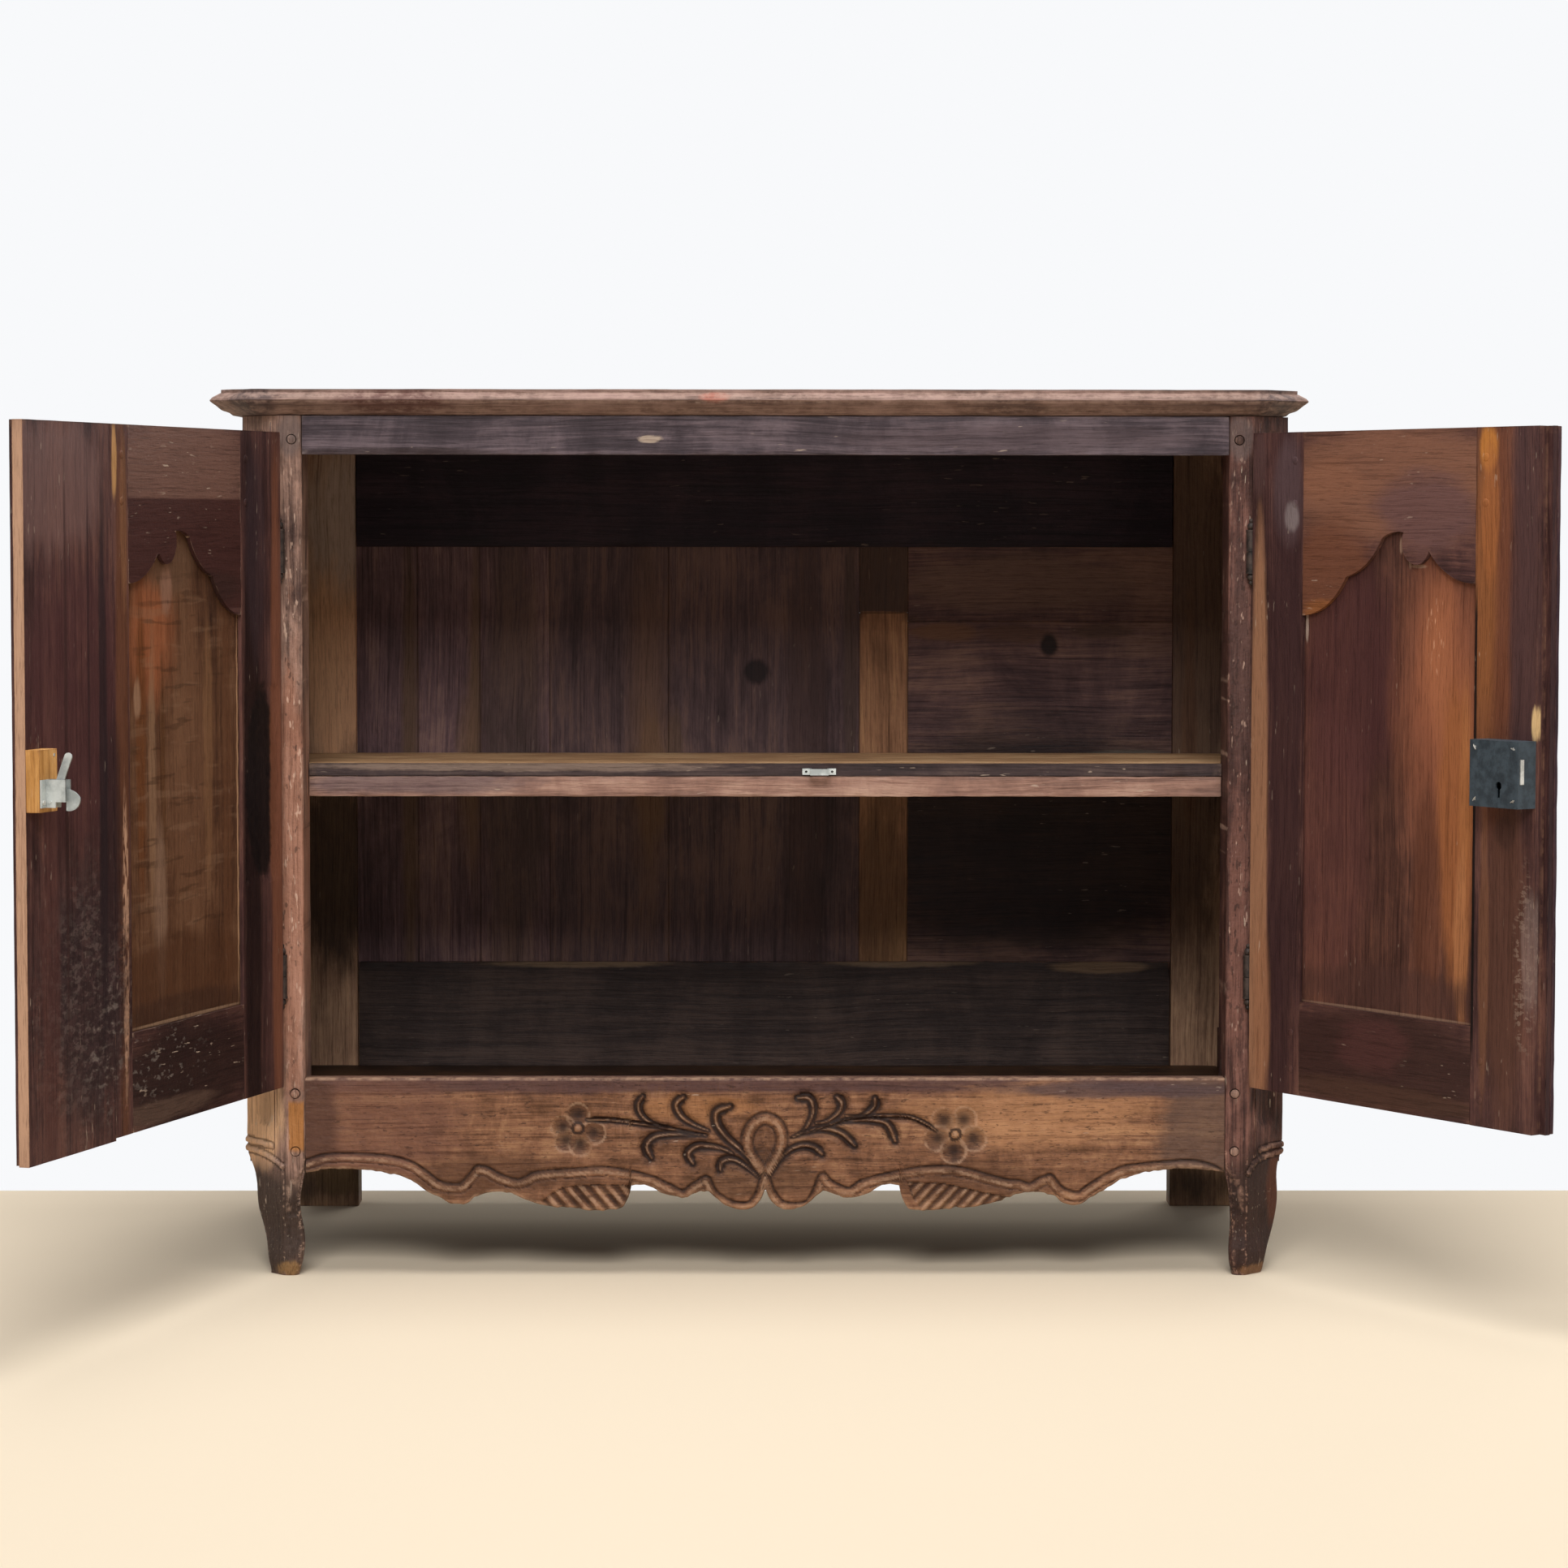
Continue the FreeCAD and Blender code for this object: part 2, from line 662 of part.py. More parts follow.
# Lower edge of the apron from its right end to the middle, as (middle, end) pairs.
# First number: share of half the opening. Second: share of the apron's drop.
apron_start_shares = (1.000, 0.706)
apron_edge_shares = (
    ((0.888, 0.680), (0.772, 0.764)),
    ((0.738, 0.844), (0.705, 0.898)),
    ((0.668, 0.950), (0.633, 0.889)),
    ((0.572, 0.853), (0.530, 0.898)),
    ((0.472, 0.958), (0.417, 0.973)),
    ((0.363, 0.993), (0.312, 0.975)),
    ((0.299, 0.900), (0.292, 0.806)),
    ((0.262, 0.800), (0.229, 0.852)),
    ((0.198, 0.887), (0.169, 0.896)),
    ((0.147, 0.862), (0.125, 0.844)),
    ((0.112, 0.881), (0.094, 0.933)),
    ((0.061, 0.981), (0.027, 0.969)),
    ((0.007, 0.888), (0.000, 0.819)),
)


def apron_plate():
    half, drop, top = value("opening_half"), value("apron_drop"), value("opening_bottom")
    edges = []
    for side in (1, -1):
        def place(x, z):
            return FreeCAD.Vector(side * x * half, 0, top - z * drop)
        edges += arcs(apron_start_shares, apron_edge_shares, place)
    low = top - apron_start_shares[1] * drop
    corners = [FreeCAD.Vector(half, 0, low), FreeCAD.Vector(half, 0, top),
               FreeCAD.Vector(-half, 0, top), FreeCAD.Vector(-half, 0, low)]
    for first, last in zip(corners, corners[1:]):
        edges.append(Part.LineSegment(first, last).toShape())
    outline = Part.Wire(Part.__sortEdges__(edges))
    return Part.Face(outline).extrude(FreeCAD.Vector(0, value("rail_thick"), 0))


plate = shaped("ApronPlate", apron_plate())
apron = fuse("TenonedApron", [plate, tenons["left"]["apron"], tenons["right"]["apron"]])
low_pegs = front_pegs["left"][:2] + front_pegs["right"][:2]
piece("apron", "case", cut("PeggedApron", apron, low_pegs))


# Top: two boards, the moulding run along the front and both ends.
def top_board(front):
    half, drift = value("case_half + top_overhang"), value("top_drift")
    fore, rear, joint = -value("top_front_overhang"), value("case_depth"), value("top_front_depth")
    cant, thick, base = value("top_cant"), value("top_thick"), value("under_top")
    nose, setback, fillet = value("nose_height"), value("nose_setback"), value("fillet_height")
    cove = value("cove_depth")
    joint += fore

    def ring(inset, height):
        slope = inset * math.tan(math.pi / 8)
        far, near = half - inset, fore + inset
        line = cant - inset + slope
        return [(far, rear), (far, near + line), (far - line, near),
                (line - far, near), (-far, near + line), (-far, rear)], base + height

    # how far the moulding draws in, from the underside up
    section = ((cove, 0), (cove * 0.86, thick * 0.10), (cove * 0.50, thick * 0.20), (setback * 0.55, thick * 0.36),
               (setback * 0.10, nose * 0.86), (0, nose), (setback * 0.25, nose + fillet),
               (setback * 0.95, thick - fillet), (setback, thick - fillet), (setback, thick))
    slab = None
    for (first, low), (last, high) in zip(section, section[1:]):
        wires = []
        for inset, height in ((first, low), (last, high)):
            points, z = ring(inset, height)
            corners = [FreeCAD.Vector(x - drift, y, z) for x, y in points]
            wires.append(Part.makePolygon(corners + corners[:1]))
        if high == low:
            continue
        layer = Part.makeLoft(wires, True, True)
        slab = layer if slab is None else slab.fuse(layer)
    slab = slab.removeSplitter()
    span = 2 * half + 2 * thick
    reach = joint - fore + thick if front else rear - joint + thick
    depth = fore - thick if front else joint
    half_space = Part.makeBox(span, reach, 2 * thick,
                              FreeCAD.Vector(-span / 2 - drift, depth, base - thick / 2))
    return slab.common(half_space)


piece("top_front_board", "case", shaped("TopFront", top_board(True)))
piece("top_back_board", "case", shaped("TopBack", top_board(False)))

# Floor boards, notched round the posts, on two bearers.
front_notches = []
for name, side in sides:
    front_notches.append(box("FloorNotch", ("front_post_width", "front_post_depth", "2 * floor_thick"),
                             (outward(side, "opening_half", "front_post_width"), "0",
                              "floor_height - 1.5 * floor_thick")))
board = box("FloorFront", ("2 * rail_inner", "floor_front_depth", "floor_thick"),
            ("-rail_inner", "rail_thick", "floor_height - floor_thick"))
piece("floor_front_board", "case", cut("NotchedFloor", board, front_notches))
piece("floor_back_board", "case",
      box("FloorBack", ("2 * rail_inner", "back_face - rail_thick - floor_front_depth - plank_gap", "floor_thick"),
          ("-rail_inner", "rail_thick + floor_front_depth + plank_gap", "floor_height - floor_thick")))
bearers = []
for name, side in sides:
    bearers.append(box("FloorBearer", ("bearer_width", side_run, "bearer_height"),
                       (outward(side, "rail_inner - bearer_width", "bearer_width"), "front_post_depth",
                        "floor_height - floor_thick - bearer_height")))
piece("floor_bearers", "case", bearers)

# Shelf, in its own slightly falling plane: the origin is its top front edge.
lipping = box("ShelfLipping", ("2 * opening_half", "lipping_depth", "shelf_thick"),
              ("-opening_half", "0", "-shelf_thick"))
corner_notches = []
for name, side in sides:
    corner_notches.append(box("ShelfNotch", ("front_post_width", "front_post_depth", "3 * shelf_thick"),
                              (outward(side, "opening_half", "front_post_width"), "-shelf_front",
                               "-2 * shelf_thick")))
piece("shelf_lipping", "shelf", cut("NotchedLipping", lipping, corner_notches))
board = box("ShelfBoard", ("2 * rail_inner", "shelf_depth - lipping_depth", "shelf_thick"),
            ("-rail_inner", "lipping_depth", "-shelf_thick"))
back_notches = []
for name, side in sides:
    back_notches.append(box("ShelfBackNotch", ("back_post_width + shelf_play", "back_post_depth + shelf_play",
                                               "3 * shelf_thick"),
                            (outward(side, "back_half - shelf_play", "back_post_width + shelf_play"),
                             "back_face - shelf_front - shelf_play", "-2 * shelf_thick")))
piece("shelf_board", "shelf", cut("NotchedShelf", board, back_notches))
piece("shelf_batten", "shelf",
      box("ShelfBatten", ("2 * opening_half", "lipping_depth / 2", "batten_height"),
          ("-opening_half", "0", "-shelf_thick - batten_height")))
cleats = []
for name, side in sides:
    cleats.append(box("ShelfCleat", ("cleat_width", "back_face - shelf_front - lipping_depth - cleat_play",
                                     "batten_height"),
                      (outward(side, "panel_out - cleat_width", "cleat_width"),
                       "lipping_depth", "-shelf_thick - batten_height")))
piece("shelf_cleats", "shelf", cleats)

# Strike of the catch: a flat staple on the shelf's front edge.
strike_x = "strike_middle - strike_width / 2"
strike_z = "strike_bottom - shelf_top"
strike_reach = "shelf_front - strike_back"
loop = box("StrikeLoop", ("strike_width", f"{strike_reach} + strike_sheet", "strike_height"),
           (strike_x, f"-({strike_reach}) - strike_sheet", strike_z))
well = box("StrikeWell", ("strike_width - 2 * strike_sheet", strike_reach, "2 * strike_height"),
           (f"{strike_x} + strike_sheet", f"-({strike_reach})", f"{strike_z} - strike_height / 2"))
ears = box("StrikeEars", ("strike_width + 2 * strike_ear", "strike_sheet", "strike_height"),
           (f"{strike_x} - strike_ear", "-strike_sheet", strike_z))
strike_screws = []
strike_heads = []
for side in (-1, 1):
    x = f"strike_middle + {at(side, 'strike_width / 2 + strike_ear / 2')}"
    z = f"{strike_z} + strike_height / 2"
    shank = rod("StrikeShank", "strike_screw", "strike_sheet + screw_bite", (x, "-strike_sheet", z), "y")
    head = rod("StrikeHead", "strike_screw * 1.6", "screw_head_height",
               (x, "-strike_sheet - screw_head_height", z), "y")
    strike_screws.append(fuse("StrikeScrew", [shank, head]))
piece("strike_screws", "shelf", strike_screws)
piece("catch_strike", "shelf", cut("DrilledStrike", fuse("StrikeBlank", [loop, ears]), [well] + strike_screws))
pieces["shelf_lipping"].Tool = group("LippingTools", corner_notches + strike_screws)


# Doors. Each is drawn shut, with its hinge line as origin and s the distance along it.
def along(side, start, length):
    """The low x of a box that runs from start along a door: the right door runs the other way."""
    return f"({start})" if side < 0 else f"-({start}) - ({length})"


def on_door(side, place):
    return f"({place})" if side < 0 else f"-({place})"


# Lower edge of the arched rail from the hinge side, as (middle, end) pairs of shares.
# First number: share of the panel's width. Second: share of the arch's rise.
arch_start_shares = (0.000, 0.000)
arch_edge_shares = (
    ((0.155, 0.150), (0.260, 0.470)),
    ((0.385, 0.640), (0.470, 0.930)),
    ((0.520, 0.990), (0.592, 1.000)),
    ((0.603, 0.720), (0.675, 0.622)),
    ((0.716, 0.680), (0.739, 0.777)),
    ((0.840, 0.530), (1.000, 0.415)),
)


def arched_prism(side, start, grow, back, thick):
    """The door's panel outline, grown each way, as a solid from back over thick."""
    width, rise = value("panel_width"), value("arch_rise")
    spring = value("arch_spring") + grow
    low = value("door_bottom + door_bottom_rail") - grow
    first, span = start - grow, width + 2 * grow

    def place(x, z):
        return FreeCAD.Vector(-side * (first + x * span), back, spring + z * rise)
    edges = arcs(arch_start_shares, arch_edge_shares, place)
    end = place(*arch_edge_shares[-1][1])
    corners = [end, FreeCAD.Vector(end.x, back, low), FreeCAD.Vector(-side * first, back, low), place(0, 0)]
    for one, other in zip(corners, corners[1:]):
        edges.append(Part.LineSegment(one, other).toShape())
    outline = Part.Wire(Part.__sortEdges__(edges))
    return Part.Face(outline).extrude(FreeCAD.Vector(0, thick, 0))


def door_tenon(side, start, low, high):
    return box("DoorTenon", ("door_tenon", "door_tenon_thick", f"({high}) - ({low})"),
               (along(side, start, "door_tenon"), "inner_face - door_tongue_set - door_tenon_thick", low))


door_nodes = {}
bottom_edge = "door_bottom + door_bottom_rail"
for name, side in sides:
    left = name == "left"
    hinge_stile = f"{name}_hinge_stile"
    meeting_stile = "left_meeting_stile" if left else "(right_reach - door_edge - right_hinge_stile - panel_width)"
    panel_start = f"door_edge + {hinge_stile}"
    panel_end = f"{panel_start} + panel_width"
    stand = f"{name}_door"
    tongue_back = value("inner_face - door_tongue_set - door_tongue_thick")
    first = value(panel_start)
    tongue = value("door_tongue")
    groove = shaped("PanelGroove", arched_prism(side, first, tongue, tongue_back, value("door_tongue_thick")))
    sight = shaped("SightOpening", arched_prism(side, first, 0, value("outer_face - door_thick"),
                                                3 * value("door_thick")))
    field = shaped("PanelField", arched_prism(side, first, -value("field_margin"),
                                              value("outer_face + field_set"),
                                              value("door_thick - field_set - door_tongue_set")))
    leafs = shaped("PanelTongue", groove.Shape.copy())
    panel = fuse("Panel", [leafs, field])
    piece(f"{name}_panel", stand, panel)

    # rails with tenons, stiles with mortises
    tenon_pairs = []
    for low, high in ((f"{bottom_edge} - door_bottom_rail + tenon_shoulder", f"{bottom_edge} - 2 * tenon_shoulder"),
                      ("arch_spring + arch_rise + tenon_shoulder", "door_top - tenon_shoulder")):
        near = door_tenon(side, f"{panel_start} - door_tenon", low, high)
        far = door_tenon(side, panel_end, low, high)
        tenon_pairs.append((near, far, low, high))
    door_pegs = []
    for near, far, low, high in tenon_pairs:
        for place in (f"{panel_start} - door_tenon / 2", f"{panel_end} + door_tenon / 2"):
            for share in (0.25, 0.75):
                height = f"({low}) + {share} * (({high}) - ({low}))"
                door_pegs.append(rod("DoorPeg", "door_peg_radius", "door_thick",
                                     (on_door(side, place), "outer_face", height), "y"))
    piece(f"{name}_door_pegs", stand, door_pegs)
    rails = (("bottom_rail", bottom_edge + " - door_bottom_rail", "door_bottom_rail", tenon_pairs[0]),
             ("top_rail", "arch_spring", "door_top - arch_spring", tenon_pairs[1]))
    for rail_name, low, height, pair in rails:
        bar = box("DoorRail", ("panel_width", "door_thick", height),
                  (along(side, panel_start, "panel_width"), "outer_face", low))
        rail = fuse("TenonedDoorRail", [bar, pair[0], pair[1]])
        piece(f"{name}_{rail_name}", stand, cut("ShapedDoorRail", rail, [sight, groove] + door_pegs))

    # hinge leaves on the door
    upper = []
    leaves = []
    x, y = "0", "0"
    for level in hinge_levels:
        leaf = box("DoorLeaf", ("leaf_depth", "leaf_thick", "knuckle_length"),
                   (along(side, "0", "leaf_depth"), "-leaf_thick / 2", f"{level} + knuckle_gap / 2"))
        leaves.append(leaf)
        bore = hinge_pin(x, y, level, "pin_play")
        upper.append(knuckle(x, y, level, True, leaf, bore))
    piece(f"{name}_hinge_door_leaves", stand, upper)
    mortises = [tenon_pairs[0][0], tenon_pairs[1][0]] + [groove] + door_pegs + leaves
    stile = box("HingeStile", (hinge_stile, "door_thick", "door_height"),
                (along(side, "door_edge", hinge_stile), "outer_face", "door_bottom"))
    piece(f"{name}_hinge_stile", stand, cut("MortisedStile", stile, mortises))
    door_nodes[name] = (panel_end, meeting_stile, [tenon_pairs[0][1], tenon_pairs[1][1], groove] + door_pegs)

# Left door's narrow meeting stile, and the wide centre board tongued to it.
panel_end, meeting_stile, mortises = door_nodes["left"]
board_start = f"{panel_end} + left_meeting_stile"
loose = box("BoardTongue", ("loose_tongue", "loose_tongue_thick", "door_height"),
            (f"{board_start} - loose_tongue", "inner_face - door_tongue_set - loose_tongue_thick", "door_bottom"))
stile = box("MeetingStile", ("left_meeting_stile", "door_thick", "door_height"),
            (panel_end, "outer_face", "door_bottom"))
piece("left_meeting_stile", "left_door", cut("LeftMeetingStile", stile, mortises + [loose]))
board = box("CentreBoard", (f"left_reach - ({board_start})", "door_thick", "door_height + centre_board_drop"),
            (board_start, "outer_face", "door_bottom - centre_board_drop"))
rebate = box("BoardRebate", ("2 * rebate_reach", "lip_thick + rebate_gap", "2 * door_height"),
             ("left_reach - rebate_reach", "outer_face", "door_bottom - door_height / 2"))

# Right door's meeting stile: a lip over the left door, and a cover strip on its face.
panel_end, meeting_stile, mortises = door_nodes["right"]
stile = box("LipStile", (f"{meeting_stile} + lip_reach", "door_thick", "door_height"),
            (f"-({panel_end}) - ({meeting_stile}) - lip_reach", "outer_face", "door_bottom"))
lip_rebate = box("LipRebate", ("2 * lip_reach", "door_thick", "2 * door_height"),
                 ("-right_reach - 2 * lip_reach", "outer_face + lip_thick", "door_bottom - door_height / 2"))
key_x = "-(right_reach - keyhole_inset)"


def keyhole(back, thick):
    eye = rod("KeyholeEye", "keyhole_radius", thick, (key_x, back, "keyhole_height"), "y")
    slot = box("KeyholeSlot", ("keyhole_slot", thick, "keyhole_length"),
               (f"{key_x} - keyhole_slot / 2", back, "keyhole_height - keyhole_length"))
    return [eye, slot]


lock_screws = []
for x in ("lock_start + lock_screw_inset", "right_reach - lock_screw_inset"):
    for z in ("lock_bottom + lock_screw_inset", "lock_bottom + lock_height - lock_screw_inset"):
        shank = rod("LockShank", "screw_radius", "lock_depth + screw_bite",
                    (f"-({x})", "inner_face - screw_bite", z), "y")
        head = rod("LockScrewHead", "screw_head", "screw_head_height", (f"-({x})", "inner_face + lock_depth", z), "y")
        lock_screws.append(fuse("LockScrew", [shank, head]))
piece("lock_screws", "right_door", lock_screws)
tools = mortises + [lip_rebate] + keyhole("outer_face - door_thick", "3 * door_thick") + lock_screws
piece("right_meeting_stile", "right_door", cut("RightMeetingStile", stile, tools))
strip = box("CoverStrip", ("strip_width", "strip_thick", "door_height"),
            ("-right_reach - lip_reach", "outer_face - strip_thick", "door_bottom"))
piece("right_cover_strip", "right_door", strip)
oval = doc.addObject("Part::Ellipse", "KeyholeOval")
bind(oval, MajorRadius="plate_height / 2", MinorRadius="plate_width / 2")
outline = Part.Ellipse(FreeCAD.Vector(), value("plate_height / 2"), value("plate_width / 2")).toShape()
flat = Part.Face(Part.Wire([outline])).extrude(FreeCAD.Vector(0, 0, value("plate_thick")))
doc.removeObject(oval.Name)
flat.rotate(FreeCAD.Vector(), FreeCAD.Vector(0, 1, 0), 90)
flat.rotate(FreeCAD.Vector(), FreeCAD.Vector(0, 0, 1), -90)
flat.translate(FreeCAD.Vector(value(key_x), value("outer_face"), value("keyhole_height - keyhole_length / 4")))
escutcheon = cut("KeyholePlate", shaped("PlateBlank", flat), keyhole("outer_face - door_thick", "door_thick"))
piece("keyhole_plate", "right_door", escutcheon)

# Lock: a steel box on the right door's back. The bolt slides out past the left door's block.
case_block = box("LockCase", ("lock_width", "lock_depth", "lock_height"), ("-right_reach", "inner_face", "lock_bottom"))
hollow = box("LockHollow", ("lock_width - 2 * lock_wall", "lock_depth - lock_wall", "lock_height - 2 * lock_wall"),
             ("-right_reach + lock_wall", "inner_face", "lock_bottom + lock_wall"))
bolt_slot = box("BoltSlot", ("3 * lock_wall", "bolt_thick + 2 * bolt_play", "bolt_height + 2 * bolt_play"),
                ("-right_reach - lock_wall", "bolt_back - bolt_play", "bolt_centre - bolt_height / 2 - bolt_play"))
tools = [hollow, bolt_slot] + keyhole("inner_face + lock_depth - 2 * lock_wall", "3 * lock_wall") + lock_screws
piece("lock_case", "right_door", cut("LockBox", case_block, tools))
back_plate = box("LockPlate", ("lock_width - 2 * lock_wall", "lock_wall", "lock_height - 2 * lock_wall"),
                 ("-right_reach + lock_wall", "inner_face", "lock_bottom + lock_wall"))
key_pin = rod("KeyPin", "key_pin_radius", "lock_depth - 3 * lock_wall",
              (key_x, "inner_face", "keyhole_height"), "y")
guide_x = "-(right_reach - guide_inset - bolt_throw)"
guide = rod("BoltGuide", "guide_radius", "lock_depth - lock_wall", (guide_x, "inner_face", "bolt_centre"), "y")
piece("lock_posts", "right_door", [key_pin, guide])
back_keyhole = box("PlateKeySlot", ("keyhole_slot", "3 * lock_wall", "keyhole_length"),
                   (f"{key_x} - keyhole_slot / 2", "inner_face - lock_wall", "keyhole_height - keyhole_length"))
piece("lock_back_plate", "right_door",
      cut("DrilledPlate", back_plate, [key_pin, guide, back_keyhole] + lock_screws))
bolt_bar = box("BoltBar", ("bolt_length", "bolt_thick", "bolt_height"),
               ("-right_reach - bolt_proud", "bolt_back", "bolt_centre - bolt_height / 2"))
guide_slot = box("GuideSlot", ("bolt_throw + 2 * guide_radius + 2 * bolt_play", "3 * bolt_thick",
                               "2 * guide_radius + 2 * bolt_play"),
                 (f"{guide_x} - guide_radius - bolt_play", "bolt_back - bolt_thick",
                  "bolt_centre - guide_radius - bolt_play"))
key_room = box("KeyRoom", ("key_pin_radius * 8 + bolt_throw", "3 * bolt_thick", "bolt_height"),
               (f"{key_x} - key_pin_radius * 4", "bolt_back - bolt_thick",
                "keyhole_height + keyhole_radius + key_pin_radius - bolt_height"))
piece("lock_bolt", "right_door", cut("LockBolt", bolt_bar, [guide_slot, key_room]))
spring = box("LockSpring", ("lock_width - 4 * lock_wall", "bolt_thick", "lock_spring_thick"),
             ("-right_reach + 2 * lock_wall", "bolt_back", "bolt_centre + bolt_height / 2 + bolt_play"))
spring_foot = box("SpringFoot", ("lock_spring_thick", "bolt_thick",
                                 "lock_bottom + lock_height - lock_wall - bolt_centre - bolt_height / 2 - bolt_play"),
                  ("-right_reach + lock_width - 2 * lock_wall - lock_spring_thick", "bolt_back",
                   "bolt_centre + bolt_height / 2 + bolt_play"))
piece("lock_spring", "right_door", fuse("BentSpring", [spring, spring_foot]))

# Catch: a pale wood block, a folded bracket, and a sprung lever that hooks the strike.
block = box("KeeperBlock", ("block_width", "block_thick", "block_height"),
            ("block_start", "inner_face", "block_bottom"))
base_plate = box("CatchBase", ("catch_width", "catch_sheet", "catch_base_height"),
                 ("catch_start", "block_face", "catch_bottom"))
cheek_low = "catch_bottom + catch_base_height - cheek_height"
cheeks = []
for x in ("catch_start", "catch_start + cheek_span - catch_sheet"):
    cheeks.append(box("CatchCheek", ("catch_sheet", "cheek_reach", "cheek_height"), (x, "block_face", cheek_low)))
    cheeks.append(box("CatchLug", ("catch_sheet", "lug_reach", "lug_height"), (x, "block_face", "catch_bottom")))
pin = rod("CatchPin", "lever_pin_radius", "cheek_span + 2 * catch_sheet",
          ("catch_start - catch_sheet", "lever_pivot", "lever_pivot_height"), "x")
piece("catch_pin", "left_door", pin)
screw_x = "catch_start + catch_width - catch_flange / 2"
screw_z = "catch_bottom + 3 * screw_radius"
shank = rod("CatchShank", "screw_radius * 0.8", "catch_sheet + screw_bite",
            (screw_x, "block_face - screw_bite", screw_z), "y")
head = rod("CatchHead", "screw_radius * 1.4", "screw_head_height", (screw_x, "block_face + catch_sheet", screw_z), "y")
nail = rod("CatchNail", "screw_radius * 0.8", "catch_sheet + screw_bite",
           (screw_x, "block_face - screw_bite", "catch_bottom + catch_base_height - 3 * screw_radius"), "y")
catch_screws = [fuse("CatchScrew", [shank, head]), nail]
piece("catch_bracket", "left_door",
      cut("CatchBracket", fuse("FoldedBracket", [base_plate] + cheeks), [pin] + catch_screws))
block_screws = []
for z in ("block_bottom + 2 * screw_head", "block_bottom + block_height - 2 * screw_head"):
    x = "block_start + 2 * screw_head"
    block_screws.append(rod("BlockNail", "screw_radius", "block_thick + screw_bite",
                            (x, "inner_face - screw_bite", z), "y"))
piece("block_fixings", "left_door", catch_screws + block_screws)
piece("keeper_block", "left_door", cut("ScrewedBlock", block, catch_screws + block_screws))
piece("left_centre_board", "left_door",
      cut("CentreBoardCut", fuse("TonguedBoard", [board, loose]), [rebate] + block_screws))


def catch_lever():
    """The flat lever, drawn in the plane across the door: hub, thumb strap and hooked nose."""
    reach, height = value("lever_pivot"), value("lever_pivot_height")
    x, thick = value("lever_start"), value("lever_thick")
    hub, pin_hole = value("lever_hub"), value("lever_pin_radius + pin_play")
    lean, rise, wide = value("thumb_lean"), value("thumb_rise"), value("thumb_width")
    hook, drop, out = value("hook_reach"), value("hook_drop"), value("nose_reach")
    lift, crown = value("nose_lift"), value("nose_crown")

    def spot(y, z):
        return FreeCAD.Vector(x, reach + y, height + z)

    def prism(wire):
        return Part.Face(wire).extrude(FreeCAD.Vector(thick, 0, 0))
    hub_disc = Part.makeCylinder(hub, thick, spot(0, 0), FreeCAD.Vector(1, 0, 0))
    tip = Part.makeCylinder(wide / 2, thick, spot(lean, rise), FreeCAD.Vector(1, 0, 0))
    length = math.hypot(lean, rise)
    side_y, side_z = rise / length * wide / 2, -lean / length * wide / 2
    strap = prism(Part.makePolygon([spot(side_y, side_z), spot(lean + side_y, rise + side_z),
                                    spot(lean - side_y, rise - side_z), spot(-side_y, -side_z),
                                    spot(side_y, side_z)]))
    edges = [
        Part.LineSegment(spot(0, 0), spot(hook, 0)).toShape(),
        Part.LineSegment(spot(hook, 0), spot(hook, -drop)).toShape(),
        Part.Arc(spot(hook, -drop), spot((hook + 3 * out) / 4, -drop * 2 / 3), spot(out, lift)).toShape(),
        Part.Arc(spot(out, lift), spot((hook + 2 * out) / 3, (lift + 2 * crown) / 3), spot(hook, crown)).toShape(),
        Part.LineSegment(spot(hook, crown), spot(0, crown * 2 / 3)).toShape(),
        Part.LineSegment(spot(0, crown * 2 / 3), spot(0, 0)).toShape(),
    ]
    lever = hub_disc.fuse([tip, strap, prism(Part.Wire(edges))]).removeSplitter()
    hole = Part.makeCylinder(pin_hole, 3 * thick, spot(0, 0) - FreeCAD.Vector(thick, 0, 0),
                             FreeCAD.Vector(1, 0, 0))
    return lever.cut(hole)


piece("catch_lever", "left_door", shaped("CatchLever", catch_lever()))
coil_x = "lever_start + lever_thick + catch_spring_play"
coil = rod("CatchCoil", "catch_spring_radius",
           "cheek_span / 2 - lever_thick / 2 - catch_sheet - catch_spring_play",
           (coil_x, "lever_pivot", "lever_pivot_height"), "x")
piece("catch_spring", "left_door", cut("BoredCoil", coil, [pin]))

doc.recompute()

# The origin is the middle of the open cupboard's footprint.
whole = Part.makeCompound([item.Shape for item in pieces.values()]).BoundBox
for row, middle in enumerate((whole.Center.x, whole.Center.y), centre_row):
    sheet.set(f"A{row}", str(middle))
doc.recompute()

for item in doc.Objects:
    if "Invalid" in item.State or "Error" in item.State:
        raise RuntimeError(f"{item.Label} did not build: {item.State}")
for node, item in pieces.items():
    if item.Shape.isNull() or not item.Shape.isValid() or not item.Shape.Solids:
        raise RuntimeError(f"{node} has no valid solid")

os.makedirs("parts", exist_ok=True)
for node, item in pieces.items():
    item.Shape.exportStep(f"parts/{node}.step")
print(len(pieces), "sub-parts written")
print("hinge lines", value("hinge_x"), value("hinge_y"), "centre", sheet.centre_x, sheet.centre_y)
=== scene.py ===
import json
import math

import bmesh
import bpy
import numpy as np
from mathutils import Matrix, Vector, noise


